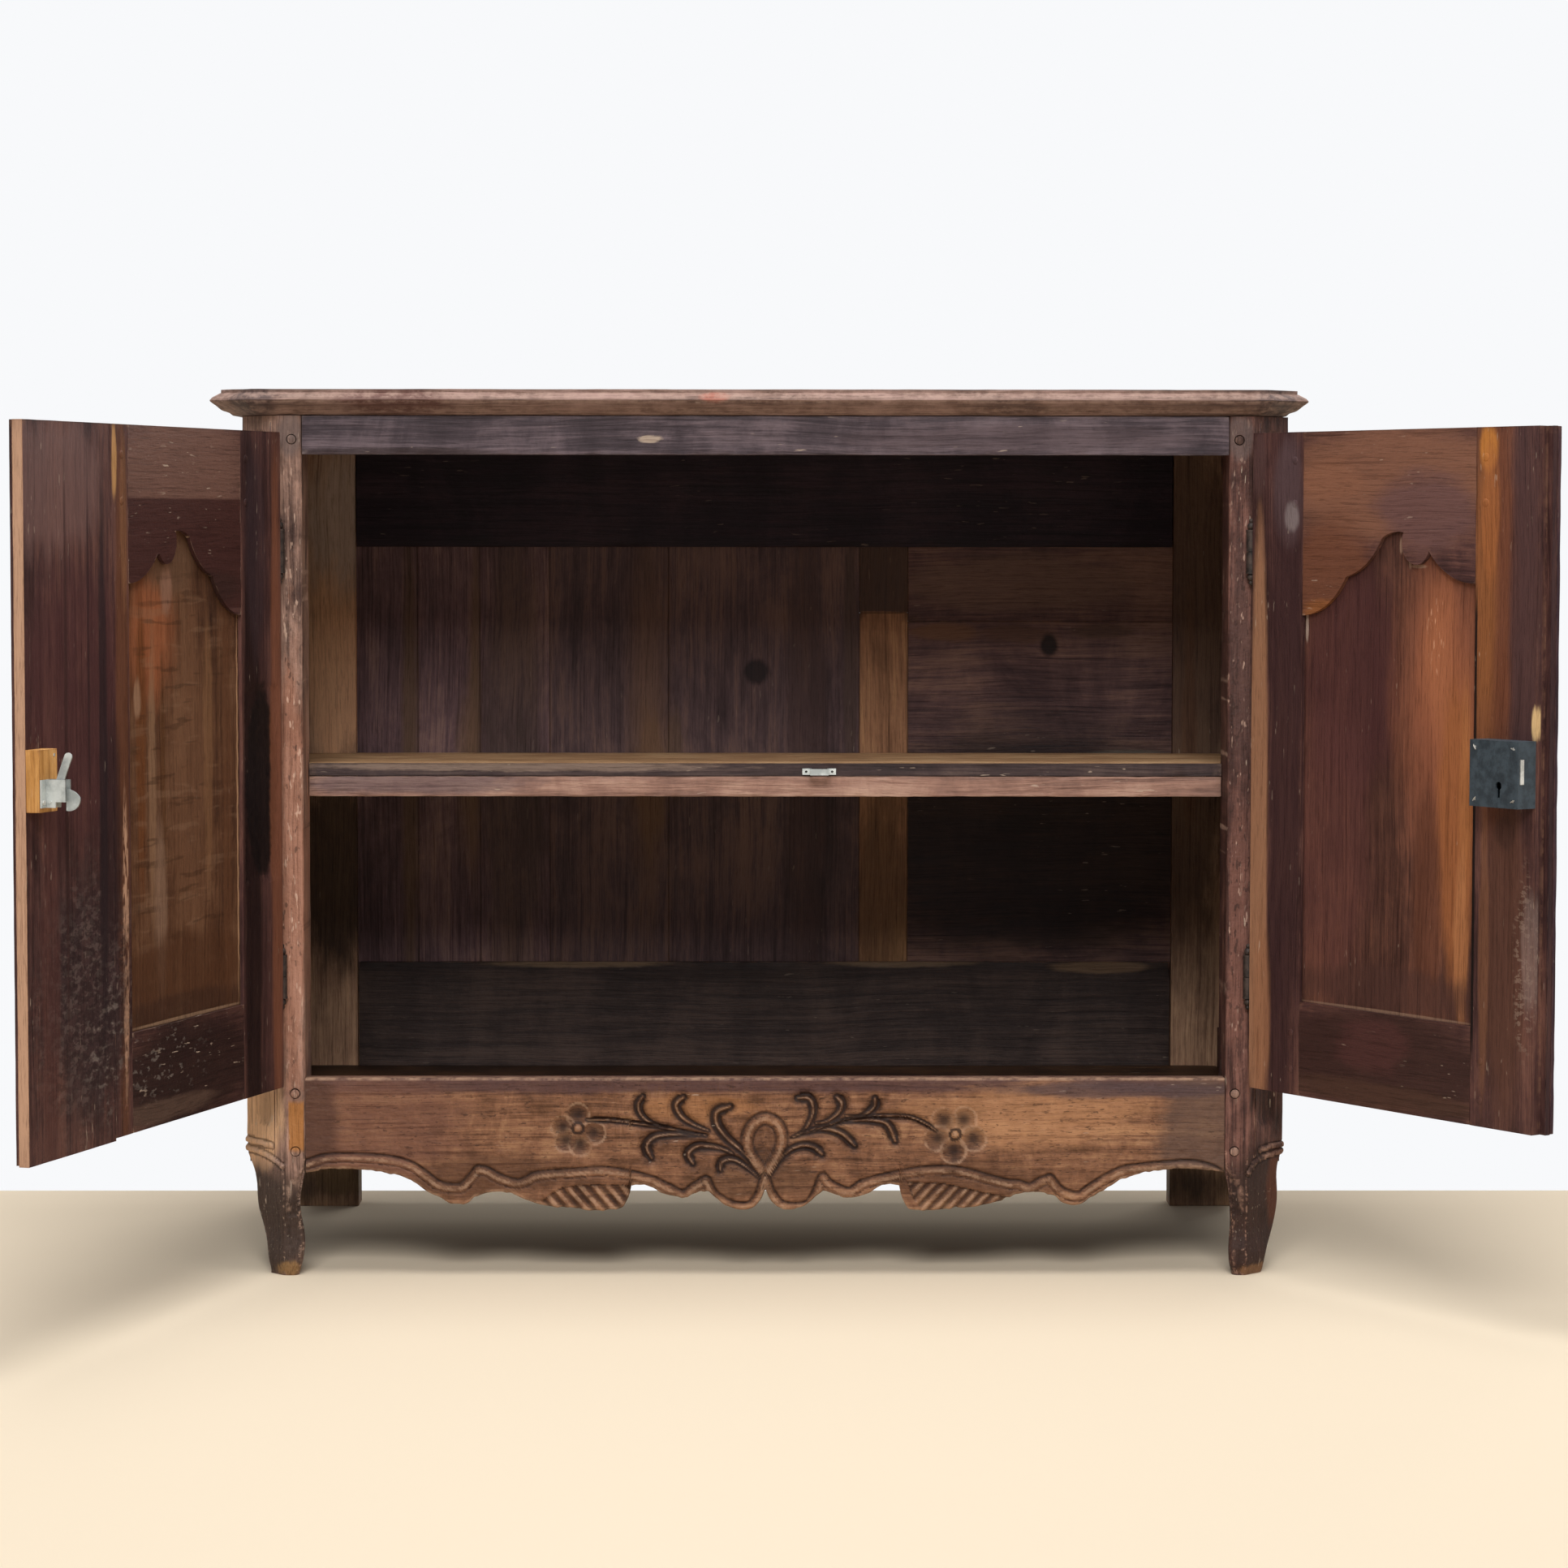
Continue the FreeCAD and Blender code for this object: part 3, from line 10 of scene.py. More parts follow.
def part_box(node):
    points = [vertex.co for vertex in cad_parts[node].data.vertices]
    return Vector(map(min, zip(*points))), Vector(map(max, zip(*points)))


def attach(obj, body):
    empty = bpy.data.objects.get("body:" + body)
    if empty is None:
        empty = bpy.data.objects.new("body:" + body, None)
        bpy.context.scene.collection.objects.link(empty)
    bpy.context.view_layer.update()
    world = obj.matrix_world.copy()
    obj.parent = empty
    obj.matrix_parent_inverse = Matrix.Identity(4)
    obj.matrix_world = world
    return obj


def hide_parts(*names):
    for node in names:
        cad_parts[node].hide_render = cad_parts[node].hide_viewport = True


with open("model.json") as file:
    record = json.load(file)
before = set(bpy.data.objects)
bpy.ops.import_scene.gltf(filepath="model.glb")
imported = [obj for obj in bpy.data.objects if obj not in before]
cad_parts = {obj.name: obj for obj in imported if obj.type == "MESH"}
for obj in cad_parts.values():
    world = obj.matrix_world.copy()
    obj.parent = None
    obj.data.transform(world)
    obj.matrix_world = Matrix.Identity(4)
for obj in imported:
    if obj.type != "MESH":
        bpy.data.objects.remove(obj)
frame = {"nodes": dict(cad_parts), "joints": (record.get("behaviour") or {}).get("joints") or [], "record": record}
cadNodes = frame["nodes"]
joints = {joint["name"]: joint for joint in frame["joints"]}
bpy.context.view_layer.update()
print("frame loaded:", len(cadNodes), "nodes")

millimetre = 0.001


# Local frames: x runs along the case's front or along a door from its hinge line, y goes back, z is up.
def placeFrame(origin, turn):
    return Matrix.Translation(Vector(origin)) @ Matrix.Rotation(turn, 4, "Z")


def doorFrame(name, way):
    joint = joints[name]
    x, y, _ = joint["pos_m"]
    return placeFrame((x, y, 0), way * math.radians(joint["range_deg"][1]))


hingeLine = {"x": 0.571, "y": 0.0066}  # each hinge's distance from the case's middle and front
leftHinge = joints["left_door_hinge"]["pos_m"]
frames = {
    "case": placeFrame((leftHinge[0] + hingeLine["x"], leftHinge[1] + hingeLine["y"], 0), 0),
    "left_door": doorFrame("left_door_hinge", -1),
    "right_door": doorFrame("right_door_hinge", 1),
}


# Camera, at the photograph's place and angle
cameraSetup = {
    "place": (-0.05162, -4.97639, 0.89132),
    "yaw": -0.38834,
    "pitch": -3.48751,
    "roll": 0.05427, "lens": 97.666,
    "sensor": 36,
}
cameraData = bpy.data.cameras.new("viewCamera")
cameraData.lens = cameraSetup["lens"]
cameraData.sensor_width = cameraSetup["sensor"]
camera = bpy.data.objects.new("viewCamera", cameraData)
bpy.context.scene.collection.objects.link(camera)
camera.matrix_world = (
    Matrix.Translation(cameraSetup["place"])
    @ Matrix.Rotation(math.radians(cameraSetup["yaw"]), 4, "Z")
    @ Matrix.Rotation(math.radians(90 + cameraSetup["pitch"]), 4, "X")
    @ Matrix.Rotation(math.radians(cameraSetup["roll"]), 4, "Z")
)
bpy.context.scene.camera = camera
print("camera set")


def tint(code):
    # colour written as in a paint list, turned to linear light
    parts = [int(code[i:i + 2], 16) / 255 for i in (0, 2, 4)]
    return tuple(p / 12.92 if p <= 0.04045 else ((p + 0.055) / 1.055) ** 2.4 for p in parts) + (1,)


# Node trees, for the finishes and for the small repeated parts
class Graph:
    def node(self, kind, inputs=(), **settings):
        made = self.tree.nodes.new(kind)
        for key, value in settings.items():
            setattr(made, key, value)
        for key, value in dict(inputs).items():
            self.feed(made.inputs[key], value)
        return made

    def feed(self, socket, value):
        if isinstance(value, bpy.types.NodeSocket):
            self.tree.links.new(value, socket)
        else:
            socket.default_value = value

    def math(self, operation, a, b=0.0):
        return self.node("ShaderNodeMath", {0: a, 1: b}, operation=operation).outputs[0]

    def joined(self, x=0.0, y=0.0, z=0.0):
        return self.node("ShaderNodeCombineXYZ", {0: x, 1: y, 2: z}).outputs[0]


class Tree(Graph):
    def __init__(self, name):
        self.material = bpy.data.materials.new(name)
        self.material.use_nodes = True
        self.tree = self.material.node_tree
        self.tree.nodes.clear()

    def vector(self, operation, a, b):
        return self.node("ShaderNodeVectorMath", {0: a, 1: b}, operation=operation).outputs[0]

    def place(self, matrix):
        # Object coordinates brought into a local frame
        coordinates = self.node("ShaderNodeTexCoord").outputs["Object"]
        return self.node("ShaderNodeMapping", {
            "Vector": coordinates, "Location": matrix.translation, "Rotation": matrix.to_euler()},
            vector_type="TEXTURE").outputs[0]

    def stretch(self, vector, scale, shift=(0, 0, 0)):
        return self.node("ShaderNodeMapping",
                         {"Vector": vector, "Scale": scale, "Location": shift}).outputs[0]

    def noise(self, vector, scale, detail=4.0, rough=0.55, bend=0.0):
        return self.node("ShaderNodeTexNoise", {
            "Vector": vector, "Scale": scale, "Detail": detail, "Roughness": rough,
            "Distortion": bend}).outputs["Fac"]

    def ramp(self, factor, stops):
        # each stop is a position and a colour, as a code or as linear light
        made = self.node("ShaderNodeValToRGB", {"Fac": factor})
        band = made.color_ramp
        while len(band.elements) < len(stops):
            band.elements.new(0.5)
        for element, (position, colour) in zip(band.elements, stops):
            element.position = position
            element.color = colour if len(colour) == 4 else tint(colour)
        return made.outputs[0]

    def span(self, value, low, high):
        # 0 at low, 1 at high, easing between them
        return self.node("ShaderNodeMapRange", {
            "Value": value, "From Min": low, "From Max": high}, interpolation_type="SMOOTHSTEP").outputs[0]

    def mix(self, factor, a, b, blend="MIX"):
        made = self.node("ShaderNodeMix", data_type="RGBA", blend_type=blend, clamp_result=True)
        self.feed(made.inputs[0], factor)
        self.feed(made.inputs[6], a)
        self.feed(made.inputs[7], b)
        return made.outputs[2]

    def finish(self, colour, roughness, height, bumpDepth, metallic=0.0, specular=0.5):
        bump = self.node("ShaderNodeBump", {"Height": height, "Strength": 1.0, "Distance": bumpDepth})
        shader = self.node("ShaderNodeBsdfPrincipled", {
            "Base Color": colour, "Roughness": roughness, "Metallic": metallic, "Normal": bump.outputs[0]})
        shader.inputs["Specular IOR Level"].default_value = specular
        self.node("ShaderNodeOutputMaterial", {"Surface": shader.outputs[0]})
        return self.material


class Growth(Graph):
    # a geometry tree with named inputs, over a mesh of points
    def __init__(self, name, inputs):
        self.tree = bpy.data.node_groups.new(name, "GeometryNodeTree")
        face = self.tree.interface
        face.new_socket("Geometry", in_out="INPUT", socket_type="NodeSocketGeometry")
        face.new_socket("Geometry", in_out="OUTPUT", socket_type="NodeSocketGeometry")
        for label, kind in inputs.items():
            face.new_socket(label, in_out="INPUT", socket_type="NodeSocket" + kind)
        self.given = self.node("NodeGroupInput").outputs

    def spotValue(self, name, kind):
        return self.node("GeometryNodeInputNamedAttribute", {"Name": name}, data_type=kind).outputs[0]

    def turned(self):
        facing = self.spotValue("facing", "FLOAT_VECTOR")
        return self.node("FunctionNodeAlignRotationToVector", {"Vector": facing}, axis="Z").outputs[0]

    def end(self, geometry):
        solid = self.node("GeometryNodeRealizeInstances", {0: geometry}).outputs[0]
        dressed = self.node("GeometryNodeSetMaterial", {"Geometry": solid, "Material": self.given["Finish"]})
        self.node("NodeGroupOutput", {0: dressed.outputs[0]})

    def grow(self, name, spots, values):
        # spots: place, direction and length of each part, in metres
        data = bpy.data.meshes.new(name)
        data.from_pydata([tuple(place) for place, _, _ in spots], [], [])
        data.attributes.new("facing", "FLOAT_VECTOR", "POINT")
        data.attributes.new("reach", "FLOAT", "POINT")
        for index, (_, way, length) in enumerate(spots):
            data.attributes["facing"].data[index].vector = way
            data.attributes["reach"].data[index].value = length
        made = bpy.data.objects.new(name, data)
        bpy.context.scene.collection.objects.link(made)
        modifier = made.modifiers.new("grown", "NODES")
        modifier.node_group = self.tree
        for item in self.tree.interface.items_tree:
            if item.in_out == "INPUT" and item.name in values:
                modifier[item.identifier] = values[item.name]
        graph = bpy.context.evaluated_depsgraph_get()
        grown = bpy.data.meshes.new_from_object(made.evaluated_get(graph), depsgraph=graph)
        made.modifiers.remove(modifier)
        made.data = grown
        grown.materials.clear()
        grown.materials.append(values["Finish"])
        grown.polygons.foreach_set("material_index", [0] * len(grown.polygons))
        return made


def alongGrain(grain, share):
    # scale that draws a noise out along the grain
    return tuple(share if axis == grain else 1 for axis in "xyz")


# What every timber starts from: scales are per metre, the bump is in metres
plainTimber = {
    "where": "case", "patches": (), "spread": 0.125, "blotchScale": 9, "blotch": 0.35,
    "fibreStrength": 0.65, "lineStrength": 0.6, "edgeFrom": 0.38, "edgeWear": 0.6, "edgeTone": "8a6248",
    "grimeStrength": 0.8, "grimeTone": "1a100d", "nickFrom": 0.70, "nicks": 0.35, "nickTone": "b9a593",
    "roughness": 0.42, "rough": 0.4, "bump": 0.0009,
}
# Scale of each noise in the wood, how far the grain draws it out, and its share in the tone
woodScale = {
    "sway": 3.5, "figure": 22, "streaks": 150, "lines": 340, "fibres": 700, "rubbed": 70, "pits": 180,
    "nicks": 260, "nickPlaces": 9,
}
grainShare = {"fibres": 0.05, "lines": 0.014, "patches": 0.25, "nicks": 0.16}
toneShares = {"figure": 0.20, "streaks": 0.28, "lines": 0.17}
# Other values of all the wood: sway and depth of the inner face's gate are in metres
woodShape = {
    "seedStep": 0.37, "sway": 0.02, "gateDepth": 0.002, "rubbedTo": 0.64, "streakGloss": 0.25,
    "specular": 0.14, "fibreHeight": 0.3, "streakHeight": 0.7, "nickEdge": 0.04, "nickPlaces": (0.46, 0.62),
}
# Pores and dark lines: span of their noise, then the factors of the tone at its two ends
poreMarks = {"span": (0.30, 0.52), "dark": (0.5, 0.47, 0.45, 1), "light": (1.1, 1.09, 1.08, 1)}
lineMarks = {"span": (0.36, 0.46), "dark": (0.55, 0.5, 0.48, 1), "light": (1.04, 1.04, 1.04, 1)}


def darken(tree, colour, pattern, marks, strength):
    factor = tree.ramp(tree.span(pattern, *marks["span"]), [(0, marks["dark"]), (1, marks["light"])])
    return tree.mix(strength, colour, factor, "MULTIPLY")


def timber(name, given):
    # old wood: long grain, streaks, blotches, stains, worn edges, grime in the cuts and pale nicks; a few of its
    # patches are painted shade
    look = dict(plainTimber, **given)
    tree = Tree(name)
    local = tree.place(frames[look["where"]])
    grain = look["grain"]
    seed = look["seed"] * woodShape["seedStep"]
    sway = tree.noise(tree.stretch(local, (1, 1, 1), (seed, seed, 1)), woodScale["sway"], detail=2, rough=0.5)
    push = tree.vector("MULTIPLY", tree.joined(sway, sway, sway), (woodShape["sway"], 0, woodShape["sway"]))
    swayed = tree.vector("ADD", local, push)
    along = tree.stretch(swayed, alongGrain(grain, grainShare["fibres"]), (seed, seed * 1.7, seed * 0.6))
    lined = tree.stretch(swayed, alongGrain(grain, grainShare["lines"]), (seed, seed * 0.7, seed * 1.6))
    figure = tree.noise(along, woodScale["figure"], detail=3, rough=0.5, bend=0.8)
    streaks = tree.noise(along, woodScale["streaks"], detail=6, rough=0.7)
    lines = tree.noise(lined, woodScale["lines"], detail=4, rough=0.75)
    fibres = tree.noise(along, woodScale["fibres"], detail=3, rough=0.75)
    blotches = tree.noise(tree.stretch(local, (1, 1, 0.6), (seed, 3, 1)), look["blotchScale"],
                          detail=7, rough=0.68, bend=0.4)
    shares = dict(toneShares, blotches=look["blotch"])
    tone = tree.math("MULTIPLY", figure, shares["figure"])
    for layer, share in ((streaks, "streaks"), (lines, "lines"), (blotches, "blotches")):
        tone = tree.math("ADD", tone, tree.math("MULTIPLY", layer, shares[share]))
    middleTone = 0.5 * sum(shares.values())
    tone = tree.span(tone, middleTone - look["spread"], middleTone + look["spread"])
    colour = tree.ramp(tone, list(zip((0, 0.5, 1), look["tones"])))
    sides = tree.node("ShaderNodeSeparateXYZ", {0: local}).outputs
    gate = None
    if "innerFrom" in look:
        gate = tree.span(sides[1], look["innerFrom"], look["innerFrom"] + woodShape["gateDepth"])
    way = -1 if look["where"] == "right_door" else 1
    for patch in look["patches"]:
        colour = paintPatch(tree, sides, local, colour, patch, gate, grain, way)
    colour = darken(tree, colour, fibres, poreMarks, look["fibreStrength"])
    colour = darken(tree, colour, lines, lineMarks, look["lineStrength"])
    rubbed = tree.noise(local, woodScale["rubbed"], detail=4, rough=0.7)
    wear = tree.node("ShaderNodeAttribute", attribute_name="wear").outputs["Fac"]
    edge = tree.math("MULTIPLY", wear, tree.span(rubbed, look["edgeFrom"], woodShape["rubbedTo"]))
    colour = tree.mix(tree.math("MULTIPLY", edge, look["edgeWear"]), colour, tint(look["edgeTone"]))
    grime = tree.node("ShaderNodeAttribute", attribute_name="grime").outputs["Fac"]
    colour = tree.mix(tree.math("MULTIPLY", grime, look["grimeStrength"]), colour, tint(look["grimeTone"]))
    colour = scratch(tree, local, colour, look)
    roughness = tree.math("ADD", tree.math("MULTIPLY", streaks, woodShape["streakGloss"]), look["roughness"])
    pits = tree.noise(local, woodScale["pits"], detail=4, rough=0.6)
    height = tree.math("ADD", tree.math("MULTIPLY", fibres, woodShape["fibreHeight"]),
                       tree.math("MULTIPLY", streaks, woodShape["streakHeight"]))
    height = tree.math("ADD", height, tree.math("MULTIPLY", pits, look["rough"]))
    return tree.finish(colour, roughness, height, look["bump"], specular=woodShape["specular"])


# What every patch starts from, and the slope of its nicks' edge
plainPatch = {
    "box": False, "through": False, "strength": 0.8, "soft": 0.3, "ragged": 1.3, "raggedScale": 34,
    "few": 0.58,
}
patchShape = {"shift": 100, "nickEdge": 0.06}  # millimetres that shift the ragged noise by one


def paintPatch(tree, sides, local, colour, patch, gate, grain, way):
    # a ragged stained, worn or scuffed place, or a patch of painted shade: middle and half sizes in millimetres
    # across the face
    x, z, halfX, halfZ, tone, *more = patch
    how = {**plainPatch, "grain": grain, **(more[0] if more else {})}
    dx = tree.math("MULTIPLY", tree.math("SUBTRACT", sides[0], way * x * millimetre),
                   1 / (halfX * millimetre))
    dz = tree.math("MULTIPLY", tree.math("SUBTRACT", sides[2], z * millimetre), 1 / (halfZ * millimetre))
    if how["box"]:
        size = tree.math("MAXIMUM", tree.math("ABSOLUTE", dx), tree.math("ABSOLUTE", dz))
    else:
        size = tree.math("SQRT", tree.math("ADD", tree.math("MULTIPLY", dx, dx),
                                           tree.math("MULTIPLY", dz, dz)))
    shift = (x / patchShape["shift"], 0, z / patchShape["shift"])
    ragged = tree.noise(tree.stretch(local, alongGrain(how["grain"], grainShare["patches"]), shift),
                        how["raggedScale"], detail=6, rough=0.7)
    uneven = tree.math("MULTIPLY", tree.math("SUBTRACT", ragged, 0.5), how["ragged"])
    edge = tree.math("ADD", size, uneven)
    inside = tree.math("SUBTRACT", 1.0, tree.span(edge, 1 - how["soft"], 1 + how["soft"]))
    if "nicks" in how:  # short slanting cuts inside the place
        slant = tree.node("ShaderNodeMapping", {
            "Vector": local, "Rotation": (0, math.radians(how["slant"]), 0),
            "Scale": how["nicks"]}).outputs[0]
        cuts = tree.noise(slant, 1.0, detail=2, rough=0.6)
        inside = tree.math("MULTIPLY", inside,
                           tree.span(cuts, how["few"], how["few"] + patchShape["nickEdge"]))
    strength = tree.math("MULTIPLY", inside, how["strength"])
    if gate is not None and not how["through"]:
        strength = tree.math("MULTIPLY", strength, gate)
    return tree.mix(strength, colour, tint(tone))


def scratch(tree, local, colour, look):
    # pale nicks, sparse, mostly along the grain
    drawn = tree.stretch(local, alongGrain(look["grain"], grainShare["nicks"]), (2, 5, 7))
    cells = tree.noise(drawn, woodScale["nicks"], detail=2, rough=0.5)
    places = tree.noise(local, woodScale["nickPlaces"], detail=3, rough=0.6)
    least = look["nickFrom"]
    nicks = tree.math("MULTIPLY", tree.span(cells, least, least + woodShape["nickEdge"]),
                      tree.span(places, *woodShape["nickPlaces"]))
    return tree.mix(tree.math("MULTIPLY", nicks, look["nicks"]), colour, tint(look["nickTone"]))


# What every metal starts from: the spots' scale is per metre, the bump is in metres
plainMetal = {"spotScale": 90, "metallic": 0.9, "bump": 0.0004}
metalShape = {
    "fineScale": 900, "fineDrawn": 0.15, "spotSpan": (0.36, 0.64), "spotGloss": 0.3, "spotHeight": 0.6,
    "fineHeight": 0.3,
}


def metal(name, given):
    # rolled or cast metal with dull spots and fine scratches
    look = dict(plainMetal, **given)
    tree = Tree(name)
    local = tree.place(frames["case"])
    spots = tree.noise(local, look["spotScale"], detail=5, rough=0.65)
    fine = tree.noise(tree.stretch(local, (1, 1, metalShape["fineDrawn"])), metalShape["fineScale"],
                      detail=3, rough=0.6)
    colour = tree.ramp(tree.span(spots, *metalShape["spotSpan"]), [(0, look["dark"]), (1, look["light"])])
    roughness = tree.math("ADD", tree.math("MULTIPLY", spots, metalShape["spotGloss"]), look["roughness"])
    height = tree.math("ADD", tree.math("MULTIPLY", spots, metalShape["spotHeight"]),
                       tree.math("MULTIPLY", fine, metalShape["fineHeight"]))
    return tree.finish(colour, roughness, height, look["bump"], look["metallic"])


# Solids from the frame, welded, with rounded and worn edges
def looseCopy(node, matrix):
    mesh = bmesh.new()
    mesh.from_mesh(cadNodes[node].data)
    mesh.transform(matrix.inverted())
    bmesh.ops.remove_doubles(mesh, verts=mesh.verts, dist=2e-6)
    bmesh.ops.dissolve_limit(mesh, angle_limit=math.radians(0.4), verts=mesh.verts, edges=mesh.edges)
    return mesh


def sliceAt(mesh, place, normal):
    bmesh.ops.bisect_plane(mesh, geom=mesh.verts[:] + mesh.edges[:] + mesh.faces[:], dist=1e-6,
                           plane_co=place, plane_no=normal)


def sharpEdges(mesh, least=32):
    limit = math.radians(least)
    return [edge for edge in mesh.edges
            if len(edge.link_faces) == 2 and edge.calc_face_angle_signed(0) > limit]


def cutGrid(mesh, steps):
    # cuts every face by planes across each axis, so the wear has points to move
    for axis, step in enumerate(steps):
        if not step:
            continue
        values = [vertex.co[axis] for vertex in mesh.verts]
        low, high = min(values), max(values)
        count = int((high - low) / step)
        normal = [0, 0, 0]
        normal[axis] = 1
        for index in range(1, count + 1):
            place = [0, 0, 0]
            place[axis] = low + (high - low) * index / (count + 1)
            sliceAt(mesh, place, normal)


wearShape = {"bend": 20, "joint": 0.75}  # least bend of a worn edge in degrees, dirt in a joint


def markWear(mesh, dirtyEdges=False):
    # most wear where faces meet at an angle, and dirt too where planks meet
    mesh.normal_update()
    for name in ("wear", "grime"):
        mesh.verts.layers.float.new(name)
    wear, grime = mesh.verts.layers.float["wear"], mesh.verts.layers.float["grime"]
    limit = math.cos(math.radians(wearShape["bend"]))
    for vertex in mesh.verts:
        normals = [face.normal for face in vertex.link_faces]
        onEdge = any(normals[0].dot(normal) < limit for normal in normals)
        vertex[wear] = 1.0 if onEdge else 0.0
        vertex[grime] = wearShape["joint"] if onEdge and dirtyEdges else 0.0


# What every board starts from: wear in millimetres and the grid's steps
plainBoard = {"round": 1.4, "grid": (14, 14, 14), "waves": 0.5, "dents": 0.35, "edgeLoss": 0.8, "close": ""}
# Scales of the wear's noises per metre, then how planed ripples and hewn cuts run; depths are in millimetres
weatherShape = {
    "waveScale": 9, "dentScale": 55, "edgeScale": 28, "edgeLevel": 0.15,
    "rippleTurn": 190, "rippleSway": 3, "rippleScale": 20,
    "hewnPitch": 12, "hewnSlope": 0.4, "hewnSway": 0.6, "hewnScale": 60, "hewnLeast": 0.6, "hewnDepth": 1.6,
    "jointGap": 0.32,
}


def hewnDepth(place, marks):
    # depth of slanting axe marks inside a rectangle, given by its middle and half sizes
    x, z, halfX, halfZ = (size * millimetre for size in marks)
    if abs(place.x - x) >= halfX or abs(place.z - z) >= halfZ:
        return 0.0
    shape = weatherShape
    slanted = (place.z + place.x * shape["hewnSlope"]) / (shape["hewnPitch"] * millimetre)
    cut = (slanted + shape["hewnSway"] * noise.noise(place * shape["hewnScale"])) % 1
    return (shape["hewnLeast"] + shape["hewnDepth"] * cut) * millimetre


def weather(mesh, look):
    # pushes the skin in unevenly, more at the edges; adds plane and hewn marks and closes plank joints
    mesh.normal_update()
    layer = mesh.verts.layers.float["wear"]
    shape = weatherShape
    seed = Vector((look["seed"] * 3.1, 7.7, 1.3))
    waves, dents, edgeLoss = (look[part] * millimetre for part in ("waves", "dents", "edgeLoss"))
    moves = []
    for vertex in mesh.verts:
        place = vertex.co
        slow = noise.noise(place * shape["waveScale"] + seed) * 0.5 + 0.5
        quick = noise.noise(place * shape["dentScale"] + seed) * 0.5 + 0.5
        push = waves * slow + dents * quick * quick
        chipped = max(0, noise.noise(place * shape["edgeScale"] + seed) + shape["edgeLevel"])
        push += vertex[layer] * edgeLoss * chipped
        if "plane" in look:
            sway = shape["rippleSway"] * noise.noise(place * shape["rippleScale"])
            push += look["plane"] * millimetre * (math.sin(place.z * shape["rippleTurn"] + sway) * 0.5 + 0.5)
        if "hewn" in look and vertex.normal.y > 0.6:
            push += hewnDepth(place, look["hewn"])
        move = vertex.normal * -push
        for axis in look["close"]:  # planks meet, so no light shows between them
            side = "xyz".index(axis)
            if abs(vertex.normal[side]) > 0.5:
                move[side] = math.copysign(shape["jointGap"] * millimetre, vertex.normal[side])
        moves.append(move)
    for vertex, move in zip(mesh.verts, moves):
        vertex.co += move


def volumeOf(mesh):
    return abs(mesh.calc_volume(signed=True))


def makeObject(name, mesh, matrix, material, creaseAngle=38):
    mesh.transform(matrix)
    bmesh.ops.triangulate(mesh, faces=[face for face in mesh.faces if len(face.verts) > 4])
    mesh.normal_update()
    limit = math.radians(creaseAngle)
    for face in mesh.faces:
        face.smooth = True
    for edge in mesh.edges:
        if len(edge.link_faces) == 2:
            edge.smooth = edge.calc_face_angle(0) < limit
    data = bpy.data.meshes.new(name)
    mesh.to_mesh(data)
    mesh.free()
    made = bpy.data.objects.new(name, data)
    bpy.context.scene.collection.objects.link(made)
    data.materials.append(material)
    return made


def bodyOf(node):
    for body, members in frame["record"]["behaviour"]["bodies"].items():
        if node in members:
            return body


def frameOf(node):
    return frames.get(bodyOf(node), frames["case"])


def settle(piece, node):
    # the piece rides with the node's body and stands for it
    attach(piece, bodyOf(node))
    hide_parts(node)
    return piece


volumeKept = (0.93, 1.02)  # share of a board's volume that its bevel may leave


def roundEdges(mesh, edges, radius):
    bmesh.ops.bevel(mesh, geom=edges, offset=radius * millimetre, segments=2, profile=0.6, affect="EDGES",
                    clamp_overlap=True)


def wornBoard(node, name, material, given):
    look = dict(plainBoard, **given)
    matrix = frameOf(node)
    mesh = looseCopy(node, matrix)
    before = volumeOf(mesh)
    roundEdges(mesh, sharpEdges(mesh), look["round"])
    left = volumeOf(mesh) / before
    if not volumeKept[0] < left < volumeKept[1]:
        print("  bevel left out on", node, round(left, 3))
        mesh.free()
        mesh = looseCopy(node, matrix)
    cutGrid(mesh, [step * millimetre for step in look["grid"]])
    markWear(mesh, bool(look["close"]))
    weather(mesh, look)
    piece = makeObject(name, mesh, matrix, material)
    return settle(piece, node)


